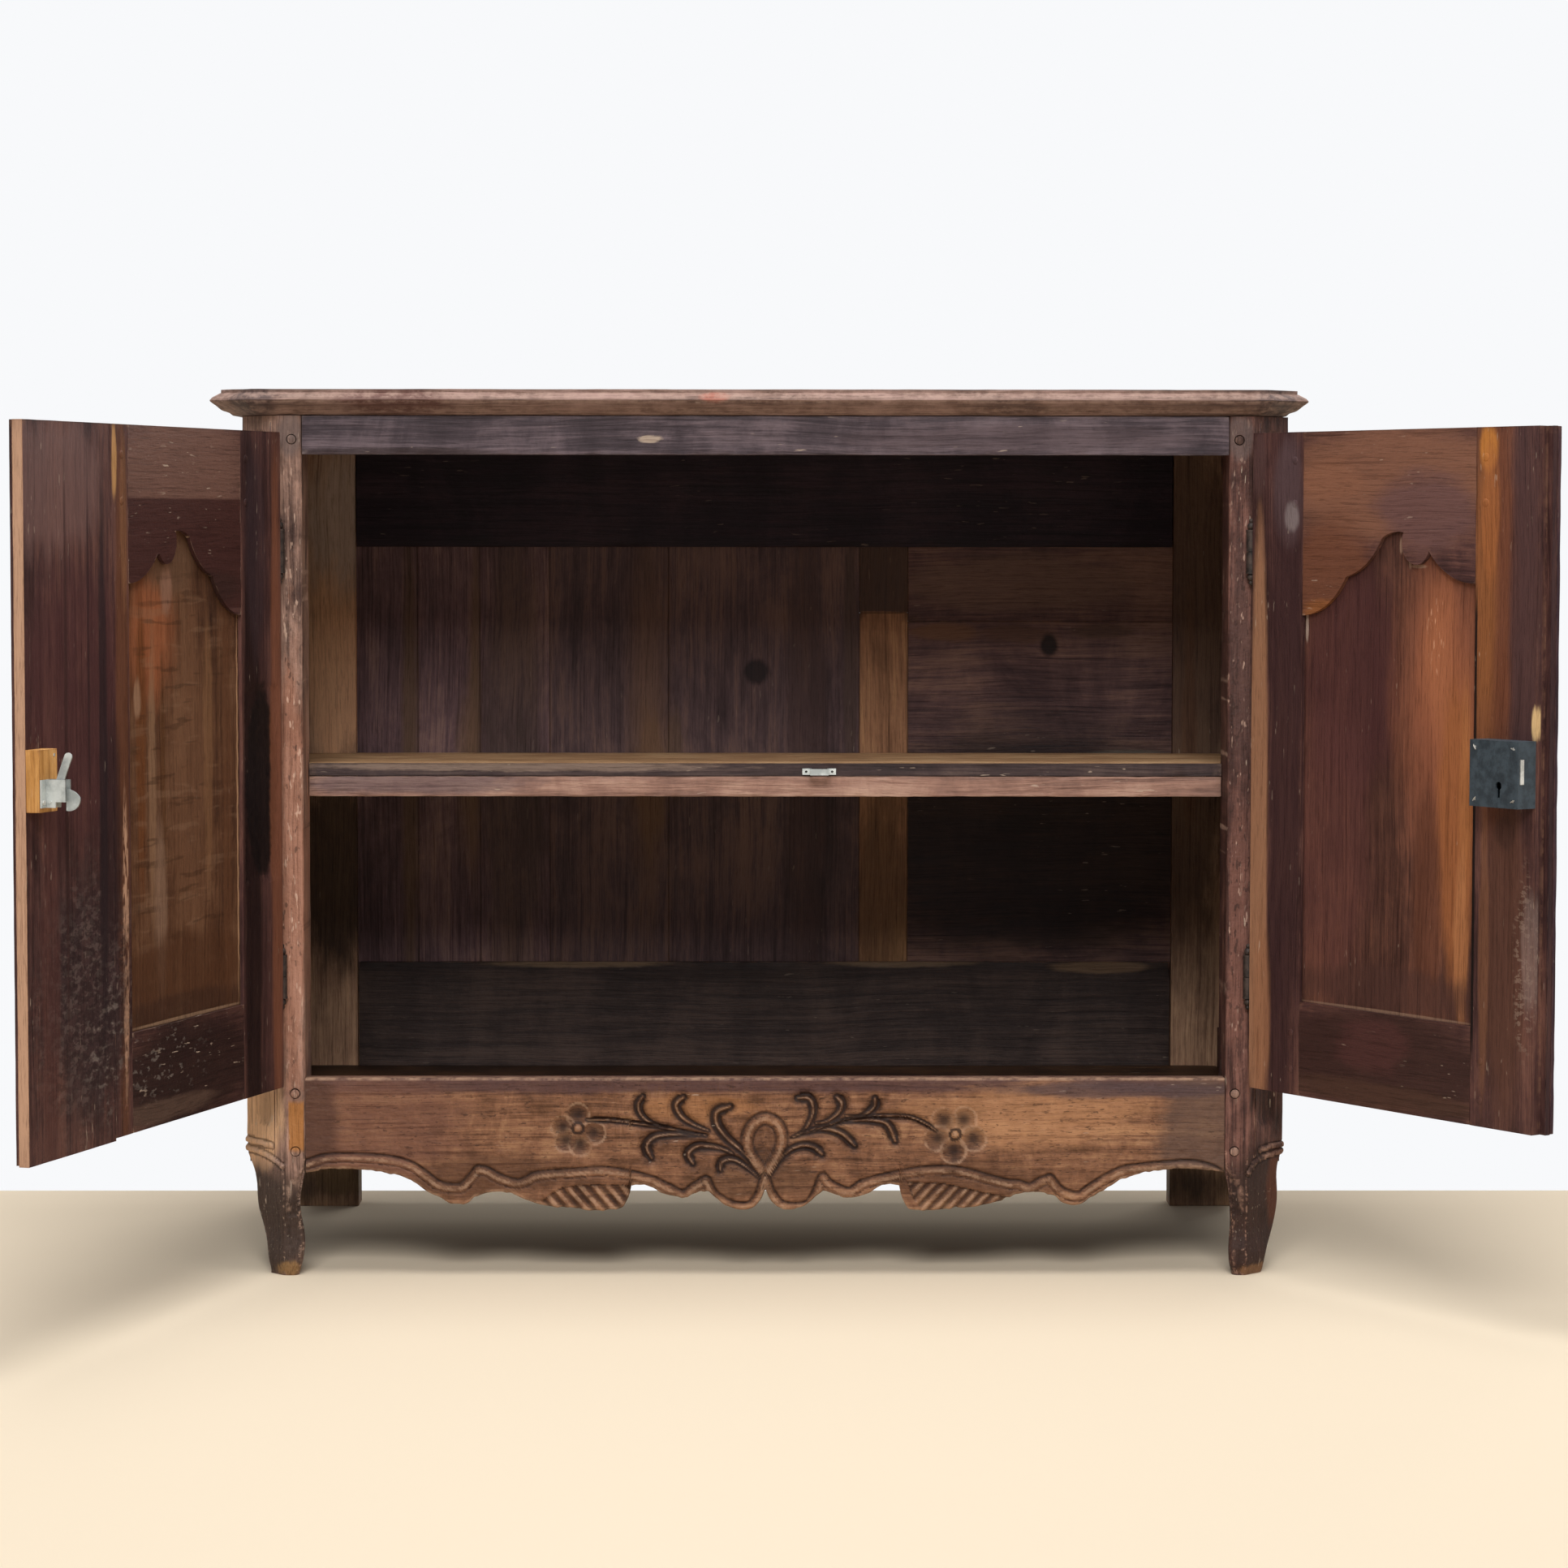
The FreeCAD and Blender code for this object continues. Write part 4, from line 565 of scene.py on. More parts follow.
# Finishes of the timber, as (dark, middle, light) tones. Patches: x, z, half width, half height, tone, how.
doorInside = {
    "grain": "z", "tones": ("261818", "462e2c", "68473e"), "edgeTone": "8f6a54", "edgeWear": 0.4,
    "roughness": 0.36, "nicks": 0.4, "innerFrom": -0.002,
}
scuff = {"nicks": (70, 300, 150), "slant": 28, "strength": 0.22, "few": 0.50, "ragged": 2.0, "soft": 0.6}
timberLooks = {
    "leftPostWood": {
        "grain": "z", "tones": ("3c2b27", "7e6357", "af8c7c"), "edgeTone": "bd9c88", "edgeWear": 0.8,
        "nicks": 0.8, "nickFrom": 0.66, "seed": 1, "rough": 0.9, "bump": 0.0014, "blotchScale": 22,
        "patches": [
            (-559, 995, 16, 26, "6b5a55", {"strength": 0.8}),
            (-559, 480, 16, 260, "a06e58", {"strength": 0.6, "ragged": 2.0}),
            (-560, 600, 18, 380, "d2b29e",
             {"nicks": (170, 1, 45), "slant": 8, "few": 0.60, "strength": 0.55}),
            (-560, 600, 18, 380, "3b2822",
             {"nicks": (150, 1, 60), "slant": -10, "few": 0.60, "strength": 0.6}),
            (-556, 179, 9, 29, "9c6838", {"box": True, "ragged": 0.4, "soft": 0.12, "strength": 0.9}),
            (-596, 60, 60, 68, "382c26", {"strength": 0.92, "ragged": 0.5, "soft": 0.25}),
            (-565, 8, 16, 9, "8a6a45", {"strength": 0.8, "ragged": 2.0, "raggedScale": 90}),
            (-590, 60, 34, 60, "a39684",
             {"nicks": (420, 400, 200), "slant": 10, "few": 0.66, "strength": 0.5}),
            (-604, 190, 30, 60, "e0b48c", {"strength": 0.85, "ragged": 1.0})]},
    "rightPostWood": {
        "grain": "z", "tones": ("281917", "4c332e", "7c574d"), "edgeTone": "a8826f", "edgeWear": 0.8,
        "nicks": 0.8, "nickFrom": 0.66, "seed": 2, "rough": 0.9, "bump": 0.0014, "blotchScale": 22,
        "patches": [
            (559, 995, 16, 26, "5f504d", {"strength": 0.8}),
            (561, 720, 13, 130, "4a3531", {"strength": 0.75, "ragged": 2.0}),
            (559, 400, 12, 150, "7a5348", {"strength": 0.5, "ragged": 2.4}),
            (560, 600, 18, 380, "c9a896", {"nicks": (170, 1, 45), "slant": -8, "few": 0.62, "strength": 0.5}),
            (560, 600, 18, 380, "33231f",
             {"nicks": (150, 1, 60), "slant": 10, "few": 0.58, "strength": 0.65}),
            (596, 70, 60, 80, "33241f", {"strength": 0.88, "ragged": 0.6, "soft": 0.3}),
            (612, 100, 14, 50, "5e3626", {"strength": 0.6, "ragged": 1.6}),
            (586, 5, 20, 7, "7d5b40", {"strength": 0.8, "ragged": 2.0, "raggedScale": 90}),
            (590, 60, 34, 60, "a39684",
             {"nicks": (420, 400, 200), "slant": 10, "few": 0.66, "strength": 0.5})]},
    "railWood": {
        "grain": "x", "tones": ("282125", "453b40", "6c5e63"), "edgeTone": "8a7a76", "seed": 3, "nicks": 0.6,
        "patches": [
            (-136, 992, 12, 4, "b3a08f", {"strength": 0.8, "ragged": 2.5, "raggedScale": 120}),
            (-430, 975, 120, 7, "2a1d1a", {"strength": 0.6}),
            (300, 992, 200, 16, "4d3f42", {"strength": 0.5, "ragged": 2.0})]},
    "sideRailWood": {
        "grain": "y", "tones": ("24181a", "412d29", "6b5048"), "edgeTone": "8a7a76", "seed": 4},
    "apronWood": {
        "grain": "x", "tones": ("3f2819", "79543e", "9f7858"), "edgeTone": "b8957a", "seed": 5,
        "blotchScale": 34, "spread": 0.15, "nicks": 0.45, "grimeStrength": 0.95, "grimeTone": "1c1110",
        "edgeWear": 0.7, "edgeFrom": 0.3, "rough": 0.8, "fibreStrength": 0.5,
        "patches": [
            (0, 232, 700, 13, "4a3433", {"box": True, "strength": 0.85, "ragged": 1.1, "soft": 0.3}),
            (-470, 175, 110, 70, "69473a", {"strength": 0.65, "ragged": 1.4}),
            (-536, 180, 30, 70, "493128", {"strength": 0.75, "ragged": 1.2}),
            (-75, 200, 70, 14, "996a44", {"strength": 0.5, "ragged": 2.0}),
            (320, 190, 130, 34, "a87a57", {"strength": 0.55, "ragged": 2.2}),
            (520, 170, 50, 80, "57433a", {"strength": 0.8, "ragged": 1.4}),
            (420, 222, 130, 10, "4b3b3c", {"strength": 0.8, "ragged": 1.4}),
            (-10, 118, 80, 22, "4d3626", {"strength": 0.5, "ragged": 1.8}),
            (-90, 190, 170, 40, "5d3d22",
             {"nicks": (500, 400, 60), "slant": 0, "few": 0.56, "strength": 0.35}),
            (330, 150, 200, 60, "4d3122",
             {"nicks": (60, 400, 420), "slant": 0, "few": 0.58, "strength": 0.4}),
            (0, 170, 560, 80, "2d1c15", {"nicks": (90, 400, 330), "slant": 4, "few": 0.62, "strength": 0.6}),
            (-330, 120, 90, 26, "513626", {"strength": 0.6, "ragged": 1.8}),
            (250, 112, 90, 22, "513626", {"strength": 0.5, "ragged": 1.8})]},
    "topWood": {
        "grain": "x", "tones": ("4c3b37", "71594f", "957970"), "edgeTone": "a08578", "seed": 7, "nicks": 0.6,
        "grimeStrength": 0.9, "grimeTone": "1a1012",
        "patches": [(-440, 1035, 60, 20, "4c2a26", {"strength": 0.6}),
                    (-60, 1040, 16, 6, "a05a48", {"strength": 0.6}),
                    (-600, 1035, 26, 20, "3b2f30", {"strength": 0.7}),
                    (600, 1035, 26, 20, "3b2f30", {"strength": 0.7})]},
    "sideWood": {
        "grain": "z", "tones": ("1f1310", "3d261c", "63412f"), "seed": 11},
    "backPostWood": {
        "grain": "z", "tones": ("6a4f3f", "9a7860", "bd9878"), "seed": 12, "nicks": 0.3, "edgeTone": "80604a",
        "patches": [
            (-553, 900, 40, 90, "a8958a", {"strength": 0.8, "soft": 0.5}),
            (-553, 690, 40, 120, "d3a27c", {"strength": 0.75, "ragged": 1.6}),
            (553, 700, 60, 400, "362520", {"strength": 0.8, "ragged": 1.0}),
            (553, 640, 10, 160, "5a3d2b", {"strength": 0.6, "ragged": 1.6}),
            (-553, 440, 60, 130, "33261f", {"strength": 0.85, "ragged": 1.6}),
            (0, 30, 700, 40, "17110f", {"strength": 0.85, "ragged": 1.0}),
            (-560, 40, 30, 26, "66523a", {"strength": 0.7, "ragged": 2.8, "raggedScale": 60})]},
    "narrowPlankWood": {
        "grain": "z", "tones": ("3f2f30", "644d50", "8a6d64"), "seed": 13, "edgeTone": "6b4c34",
        "nicks": 0.15, "patches": [
            (-463, 560, 10, 330, "5f4935", {"strength": 0.7, "ragged": 0.9, "soft": 0.5}),
            (-379, 620, 8, 150, "6a503b", {"strength": 0.65, "ragged": 1.4, "soft": 0.7}),
            (-389, 560, 12, 90, "69503a", {"strength": 0.6, "ragged": 1.4, "soft": 0.7}),
            (-376, 760, 5, 110, "664f3c", {"strength": 0.6, "ragged": 1.2, "soft": 0.7}),
            (-327, 600, 40, 330, "3d3028", {"strength": 0.6, "ragged": 0.8})]},
    "widePlankWood": {
        "grain": "z", "tones": ("302324", "524041", "70574f"), "seed": 14, "edgeTone": "6b4c34", "nicks": 0.2,
        "patches": [
            (-152, 640, 22, 230, "6b5040", {"strength": 0.6, "ragged": 1.8, "soft": 0.8}),
            (-150, 560, 20, 90, "6b4f38", {"strength": 0.6, "ragged": 1.6}),
            (-118, 590, 10, 60, "5e4838", {"strength": 0.6}),
            (55, 600, 26, 330, "443230", {"strength": 0.7, "ragged": 1.0}),
            (112, 720, 9, 150, "4a3a35", {"strength": 0.8, "ragged": 0.8}),
            (-10, 700, 16, 14, "120d0f", {"strength": 0.8, "ragged": 2.0})]},
    "splitPlankWood": {
        "grain": "z", "tones": ("6a4a34", "91694d", "b0865f"), "seed": 15, "nicks": 0.15,
        "patches": [(153, 832, 60, 54, "3b2c27",
                     {"box": True, "strength": 0.92, "ragged": 0.1, "soft": 0.03}),
                    (153, 400, 40, 120, "4d3826", {"strength": 0.6, "ragged": 1.6})]},
    "levelBoardWood": {
        "grain": "x", "tones": ("352426", "5d4543", "806256"), "seed": 16, "nicks": 0.3,
        "patches": [
            (340, 815, 150, 36, "6e564c", {"strength": 0.7, "ragged": 1.2}),
            (235, 752, 46, 12, "6b4c39", {"strength": 0.85, "ragged": 1.6}),
            (330, 750, 50, 12, "5a4034", {"strength": 0.75, "ragged": 2.0}),
            (440, 753, 40, 9, "4e3a30", {"strength": 0.7, "ragged": 1.4}),
            (371, 735, 11, 14, "150e0d", {"strength": 0.9, "ragged": 0.8}),
            (350, 480, 260, 160, "120b0d", {"strength": 0.85, "ragged": 0.6}),
            (470, 590, 60, 8, "5d5a50", {"strength": 0.5, "ragged": 2.4})]},
    "backTopRailWood": {
        "grain": "x", "tones": ("160e14", "221820", "34262d"), "edgeWear": 0.2, "seed": 18, "nicks": 0.2},
    "backLowRailWood": {
        "grain": "x", "tones": ("221817", "342926", "4b3c36"), "seed": 20, "nicks": 0.2,
        "patches": [(-240, 319, 110, 6, "7a644e", {"strength": 0.7, "ragged": 1.6}),
                    (170, 319, 90, 6, "7a644e", {"strength": 0.6, "ragged": 1.6}),
                    (440, 314, 60, 8, "735c47", {"strength": 0.75, "ragged": 1.2})]},
    "leftDoorWood": dict(doorInside, where="left_door", seed=17, patches=[
        (580, 930, 110, 70, "6a504c", {"strength": 0.7, "ragged": 1.4}),
        (540, 700, 120, 150, "46292a", {"strength": 0.6, "ragged": 1.0}),
        (92, 480, 24, 520, "160c0d", {"strength": 0.9, "ragged": 0.5}),
        (80, 860, 26, 120, "35272a", {"strength": 0.7, "ragged": 1.0}),
        (64, 590, 42, 110, "110c0d",
         {"strength": 0.96, "ragged": 0.45, "soft": 0.08, "raggedScale": 60, "grain": "x"}),
        (24, 560, 15, 420, "7a4c38", {"strength": 0.75, "ragged": 0.8}),
        (428, 640, 15, 420, "5f3b28", {"strength": 0.75, "ragged": 0.8}),
        (443, 964, 6, 38, "ae8354", {"strength": 0.9, "ragged": 1.2}),
        (421, 900, 9, 90, "7a543b", {"strength": 0.6, "ragged": 1.0}),
        (423, 450, 7, 155, "b08a72", {"nicks": (300, 300, 60), "slant": 0, "few": 0.42, "strength": 0.9,
                                      "ragged": 1.6}),
        (520, 390, 90, 130, "37292a", {"strength": 0.85, "ragged": 0.9}),
        (520, 385, 110, 120, "7b6c66", scuff),
        (520, 385, 110, 130, "1d1315", dict(scuff, few=0.46, strength=0.5, nicks=(80, 300, 140))),
        (470, 330, 50, 60, "a59a91", dict(scuff, few=0.60)),
        (455, 560, 26, 120, "2c1d1e", {"strength": 0.7, "ragged": 1.2}),
        (474, 640, 10, 300, "241a1d", {"strength": 0.8, "ragged": 0.9}),
        (507, 760, 3, 180, "2a1a1c", {"strength": 0.7, "ragged": 0.6}),
        (560, 650, 4, 300, "33201f", {"strength": 0.7, "ragged": 0.6}),
        (600, 400, 20, 200, "4a2d2a", {"strength": 0.6, "ragged": 1.0}),
        (654, 610, 1.7, 420, "b08b72", {"box": True, "through": True, "ragged": 0.25, "soft": 0.2,
                                        "strength": 0.95})]),
    "rightDoorWood": dict(doorInside, where="right_door", seed=19, patches=[
        (70, 620, 27, 480, "342122", {"strength": 0.85, "ragged": 0.6}),
        (72, 930, 26, 60, "4e3c3e", {"strength": 0.85, "ragged": 1.0}),
        (78, 900, 12, 16, "7d7171", {"strength": 0.7, "ragged": 1.4}),
        (22, 500, 17, 390, "8f674e", {"strength": 0.92, "ragged": 0.35, "soft": 0.18}),
        (32, 320, 14, 110, "8a6047", {"strength": 0.8, "ragged": 0.7}),
        (20, 960, 12, 40, "4d3735", {"strength": 0.8, "ragged": 0.8}),
        (424, 810, 30, 230, "663c29", {"strength": 0.85, "ragged": 1.0}),
        (404, 830, 18, 200, "80502f", {"strength": 0.85, "ragged": 1.0, "soft": 0.5}),
        (408, 975, 14, 24, "b07236", {"strength": 0.85, "ragged": 1.2}),
        (412, 900, 14, 70, "935a34", {"strength": 0.7, "ragged": 1.4}),
        # painted shade: a black line on the stile where the gap beside the panel lies in shadow
        (391, 560, 2.0, 250, "120b0b", {"box": True, "strength": 0.95, "ragged": 0.15, "soft": 0.1}),
        (440, 430, 34, 190, "4f3329", {"strength": 0.8, "ragged": 1.0}),
        (408, 430, 8, 150, "6f4a36", {"strength": 0.6, "ragged": 1.0}),
        (466, 800, 22, 210, "46302f", {"strength": 0.85, "ragged": 0.8}),
        (474, 420, 16, 100, "8d786b", {"nicks": (120, 300, 200), "slant": -24, "few": 0.54, "strength": 0.4}),
        (481, 430, 12, 60, "7d6a64", {"strength": 0.5, "ragged": 1.8}),
        (440, 556, 16, 20, "3a2622", {"strength": 0.5}),
        (485, 676, 5, 18, "cfae7e", {"strength": 0.95, "ragged": 1.0, "raggedScale": 90}),
        # painted shade: dark strips where the free edge's rebate and edge lie in shadow
        (491, 610, 2.4, 420, "1c1114", {"box": True, "strength": 0.95, "ragged": 0.2, "soft": 0.1}),
        (505, 610, 11, 420, "2a1a1e", {"box": True, "strength": 0.85, "ragged": 0.3, "through": True})]),
    "coverStripWood": dict(doorInside, where="right_door", seed=21, tones=("1f1416", "33222a", "4c3536"),
                           edgeWear=0.2),
    "leftRailWood": dict(
        doorInside, where="left_door", grain="x", seed=23, nicks=0.7, nickFrom=0.68, edgeTone="ab8f7a",
        edgeWear=0.9, patches=[
        (270, 955, 180, 60, "6b4e44", {"strength": 0.85, "ragged": 1.0}),
        (270, 858, 200, 62, "3c2320",
         {"box": True, "strength": 0.95, "ragged": 0.06, "soft": 0.03, "raggedScale": 12}),
        (200, 820, 80, 20, "31201d", {"strength": 0.7, "ragged": 0.8}),
        (265, 280, 180, 66, "231615", {"strength": 0.88, "ragged": 0.6}),
        (330, 300, 90, 44, "a49a92", dict(scuff, few=0.60)),
        (330, 244, 120, 12, "5b473d", {"strength": 0.6, "ragged": 1.6})]),
    "rightRailWood": dict(doorInside, where="right_door", grain="x", seed=29, patches=[
        (245, 940, 190, 70, "75503f", {"strength": 0.9, "ragged": 0.8}),
        (150, 830, 70, 70, "653f2e", {"strength": 0.85, "ragged": 1.0}),
        (140, 790, 40, 16, "85532f", {"strength": 0.7, "ragged": 1.2}),
        (310, 905, 80, 44, "5b4140", {"strength": 0.8, "ragged": 1.2}),
        (140, 940, 60, 24, "7d5440", {"strength": 0.6, "ragged": 1.6}),
        (245, 285, 190, 60, "33201d", {"strength": 0.9, "ragged": 0.6}),
        (225, 300, 60, 30, "472a28", {"strength": 0.7, "ragged": 1.5}),
        (240, 244, 200, 14, "4a3328", {"strength": 0.5, "ragged": 1.2})]),
    "leftPanelWood": {
        "where": "left_door", "grain": "z", "tones": ("37231a", "563928", "6f503b"), "seed": 31,
        "blotchScale": 14, "blotch": 0.42,
        "spread": 0.16, "innerFrom": -0.002, "roughness": 0.38, "nicks": 0.3, "patches": [
            (350, 770, 54, 70, "9a5a3a", {"strength": 0.6, "ragged": 1.2, "soft": 0.5}),
            (295, 845, 60, 34, "5e4433", {"strength": 0.85, "ragged": 1.2}),
            (306, 820, 14, 30, "8a6553", {"strength": 0.7, "ragged": 1.2}),
            (372, 660, 12, 160, "5f371d", {"strength": 0.75, "ragged": 1.0}),
            (344, 600, 9, 160, "876850", {"strength": 0.6, "ragged": 1.6, "soft": 0.5}),
            (318, 560, 7, 170, "51341f", {"strength": 0.75, "ragged": 1.0}),
            (250, 620, 44, 170, "6b4b37", {"strength": 0.6, "ragged": 1.4}),
            (265, 600, 160, 250, "7d604b", {"nicks": (9, 1, 60), "slant": 0, "few": 0.56, "strength": 0.3}),
            (265, 600, 160, 250, "3a2417", {"nicks": (9, 1, 80), "slant": 2, "few": 0.58, "strength": 0.5}),
            (200, 640, 12, 150, "7d5a3f", {"strength": 0.5, "ragged": 1.4}),
            (325, 470, 14, 90, "866a58", {"strength": 0.6, "ragged": 1.6, "soft": 0.5}),
            (380, 700, 9, 20, "9a7a62", {"strength": 0.6, "ragged": 1.2}),
            (265, 395, 170, 40, "4a2e1e", {"strength": 0.75, "ragged": 1.3}),
            (265, 352, 170, 16, "38231a", {"strength": 0.7, "ragged": 1.0}),
            (150, 590, 12, 260, "5b3b28", {"strength": 0.6, "ragged": 0.8}),
            (121.5, 560, 2.2, 215, "b38c6c", {"strength": 0.85, "ragged": 0.5}),
            (265, 340, 150, 2.0, "9b7c62", {"strength": 0.8, "ragged": 0.5})]},
    "rightPanelWood": {
        "where": "right_door", "grain": "z", "tones": ("311d1a", "4c3129", "6c4537"), "seed": 37,
        "blotchScale": 12, "innerFrom": -0.002, "roughness": 0.36, "nicks": 0.4, "patches": [
            (180, 720, 80, 140, "432727", {"strength": 0.8, "ragged": 0.8}),
            (150, 520, 60, 170, "543330", {"strength": 0.6, "ragged": 1.0}),
            (335, 700, 66, 150, "84503a", {"strength": 0.9, "ragged": 1.0, "soft": 0.6}),
            (326, 740, 26, 80, "9a6042", {"strength": 0.7, "ragged": 1.6, "soft": 0.6}),
            (356, 560, 30, 170, "8c5634", {"strength": 0.85, "ragged": 0.9}),
            (372, 590, 9, 120, "a0683f", {"strength": 0.6, "ragged": 1.2, "soft": 0.5}),
            (366, 430, 12, 90, "9c6844", {"strength": 0.75, "ragged": 1.2}),
            (310, 470, 24, 120, "5a3628", {"strength": 0.7, "ragged": 1.0}),
            (245, 365, 150, 26, "442c27", {"strength": 0.7, "ragged": 1.2}),
            (320, 770, 14, 40, "cfa184", {"nicks": (330, 300, 60), "slant": 0, "few": 0.60, "strength": 0.6}),
            (262, 868, 3, 9, "967a68", {"strength": 0.6, "ragged": 1.6, "raggedScale": 90}),
            (277, 854, 2.6, 11, "967a68", {"strength": 0.6, "ragged": 1.6, "raggedScale": 90}),
            (292, 845.5, 12, 2.2, "967a68", {"strength": 0.6, "ragged": 1.4, "raggedScale": 90}),
            (102, 775, 2.5, 18, "b8a598", {"strength": 0.5, "ragged": 1.6, "raggedScale": 90}),
            # painted shade: a black line on the panel's edge where the gap beside the stile lies in shadow
            (386.5, 560, 2.8, 250, "120b0b", {"box": True, "strength": 0.95, "ragged": 0.15, "soft": 0.1}),
            (245, 339.5, 150, 1.8, "8c6f5c", {"strength": 0.7, "ragged": 0.5})]},
    "shelfWood": {
        "grain": "x", "tones": ("8a694b", "b9906a", "d8b58a"), "seed": 41, "edgeTone": "d0a865",
        "edgeWear": 0.9, "edgeFrom": 0.2},
    "lippingWood": {
        "grain": "x", "tones": ("1c1516", "3a2e2e", "5f4f49"), "seed": 43, "edgeTone": "80695c",
        "spread": 0.2,
        "nicks": 0.6, "patches": [(-300, 603, 250, 5, "8f7a6c", {"strength": 0.5, "ragged": 2.4})]},
    "battenWood": {
        "grain": "x", "tones": ("5a433c", "8c6b5e", "b79785"), "seed": 47, "edgeTone": "84695a",
        "edgeWear": 0.9, "edgeFrom": 0.3, "spread": 0.18, "nicks": 0.6, "patches": [
            (-420, 585, 130, 14, "55464a", {"strength": 0.7, "ragged": 1.6})]},
    "blockWood": {
        "where": "left_door", "grain": "z", "tones": ("a8763f", "c7955a", "dfb47b"), "seed": 53,
        "nicks": 0.1, "fibreStrength": 0.4},
    "floorWood": {
        "grain": "x", "tones": ("1d1410", "352419", "523a28"), "seed": 59},
}
metalLooks = {
    "hingeIron": {"dark": "221b18", "light": "453832", "roughness": 0.45, "metallic": 0.5},
    "lockSteel": {"dark": "262f36", "light": "38434b", "roughness": 0.4, "metallic": 0.2},
    "platedScrew": {"dark": "b4b2ac", "light": "dedcd6", "roughness": 0.3, "metallic": 0.6},
    "agedBrass": {"dark": "5a4325", "light": "93713f", "roughness": 0.35},
    "dullZinc": {"dark": "979c9a", "light": "c3c7c4", "roughness": 0.3, "metallic": 0.6, "spotScale": 40},
}
finishes = {name: timber(name, look) for name, look in timberLooks.items()}
finishes.update((name, metal(name, look)) for name, look in metalLooks.items())
print("finishes made")

finishOf = {
    "front_left_post": "leftPostWood", "front_right_post": "rightPostWood",
    "front_top_rail": "railWood", "apron": "apronWood", "front_pegs": "leftPostWood",
    "top_front_board": "topWood", "top_back_board": "topWood",
    "left_side_panel": "sideWood", "right_side_panel": "sideWood", "side_top_rails": "sideRailWood",
    "side_bottom_rails": "sideRailWood", "back_left_post": "backPostWood", "back_right_post": "backPostWood",
    "back_narrow_planks": "narrowPlankWood", "back_wide_planks": "widePlankWood",
    "back_split_plank": "splitPlankWood", "back_level_boards": "levelBoardWood",
    "back_top_rail": "backTopRailWood", "back_bottom_rail": "backLowRailWood",
    "floor_front_board": "floorWood", "floor_back_board": "floorWood", "floor_bearers": "floorWood",
    "shelf_lipping": "lippingWood", "shelf_board": "shelfWood", "shelf_batten": "battenWood",
    "shelf_cleats": "floorWood",
    "left_panel": "leftPanelWood", "left_hinge_stile": "leftDoorWood", "left_meeting_stile": "leftDoorWood",
    "left_centre_board": "leftDoorWood", "left_top_rail": "leftRailWood", "left_bottom_rail": "leftRailWood",
    "left_door_pegs": "leftDoorWood", "right_panel": "rightPanelWood", "right_hinge_stile": "rightDoorWood",
    "right_meeting_stile": "rightDoorWood",
    "right_cover_strip": "coverStripWood", "right_top_rail": "rightRailWood",
    "right_bottom_rail": "rightRailWood", "right_door_pegs": "rightDoorWood",
    "keeper_block": "blockWood",
    "hinge_post_leaves": "hingeIron", "hinge_pins": "hingeIron", "left_hinge_door_leaves": "hingeIron",
    "right_hinge_door_leaves": "hingeIron", "lock_case": "lockSteel", "lock_back_plate": "lockSteel",
    "lock_posts": "lockSteel", "lock_bolt": "platedScrew", "lock_spring": "lockSteel",
    "keyhole_plate": "agedBrass", "lock_screws": "platedScrew", "strike_screws": "platedScrew",
    "block_fixings": "platedScrew", "catch_bracket": "dullZinc", "catch_strike": "dullZinc",
    "catch_lever": "dullZinc", "catch_pin": "dullZinc", "catch_spring": "dullZinc",
}
for nodeName, part in cadNodes.items():
    part.data.materials.clear()
    part.data.materials.append(finishes[finishOf[nodeName]])

# Boards: grid of the wear in millimetres, corner rounding, slow waves, dents and loss at the edges
boardLooks = {
    "front_top_rail": {"grid": (12, 14, 8), "round": 1.2, "dents": 0.5},
    "top_front_board": {"grid": (16, 24, 0), "round": 0.9, "dents": 0.6, "waves": 0.8},
    "top_back_board": {"grid": (20, 24, 0), "round": 0.9},
    "left_side_panel": {"grid": (0, 22, 22)}, "right_side_panel": {"grid": (0, 22, 22)},
    "side_top_rails": {"grid": (0, 20, 14)}, "side_bottom_rails": {"grid": (0, 20, 14)},
    "back_left_post": {"grid": (14, 14, 12), "dents": 0.8},
    "back_right_post": {"grid": (14, 14, 12), "dents": 0.8},
    "back_narrow_planks": {"grid": (10, 0, 16), "round": 1.0, "close": "x", "waves": 0.9},
    "back_wide_planks": {"grid": (14, 0, 16), "round": 1.0, "close": "x", "waves": 0.9},
    "back_split_plank": {"grid": (12, 0, 16), "round": 1.0, "close": "xz", "waves": 0.9},
    "back_level_boards": {"grid": (16, 0, 14), "round": 1.0, "close": "xz", "waves": 0.9},
    "back_top_rail": {"grid": (20, 0, 16)},
    "back_bottom_rail": {"grid": (14, 0, 12), "dents": 0.9, "edgeLoss": 2.0},
    "floor_front_board": {"grid": (24, 24, 0)}, "floor_back_board": {"grid": (24, 24, 0)},
    "shelf_lipping": {"grid": (12, 10, 0), "round": 1.0, "dents": 0.6},
    "shelf_board": {"grid": (24, 24, 0), "round": 0.8},
    "shelf_batten": {"grid": (10, 10, 8), "round": 1.6, "dents": 1.0, "edgeLoss": 1.6},
    "left_panel": {"grid": (6, 0, 7), "waves": 0.7, "plane": 0.5},
    "left_hinge_stile": {"grid": (6, 8, 5), "hewn": (64, 590, 46, 112)},
    "left_meeting_stile": {"grid": (7, 8, 10), "dents": 0.6},
    "left_centre_board": {"grid": (12, 8, 10), "dents": 0.6, "edgeLoss": 1.4},
    "left_top_rail": {"grid": (9, 0, 9)}, "left_bottom_rail": {"grid": (9, 8, 8), "edgeLoss": 1.6},
    "right_panel": {"grid": (9, 0, 11), "waves": 0.7},
    "right_hinge_stile": {"grid": (8, 8, 10)}, "right_meeting_stile": {"grid": (8, 8, 10)},
    "right_cover_strip": {"grid": (8, 0, 14)},
    "right_top_rail": {"grid": (9, 0, 9)}, "right_bottom_rail": {"grid": (9, 8, 8), "edgeLoss": 1.6},
    "keeper_block": {"grid": (6, 6, 8), "round": 0.8, "dents": 0.3},
}
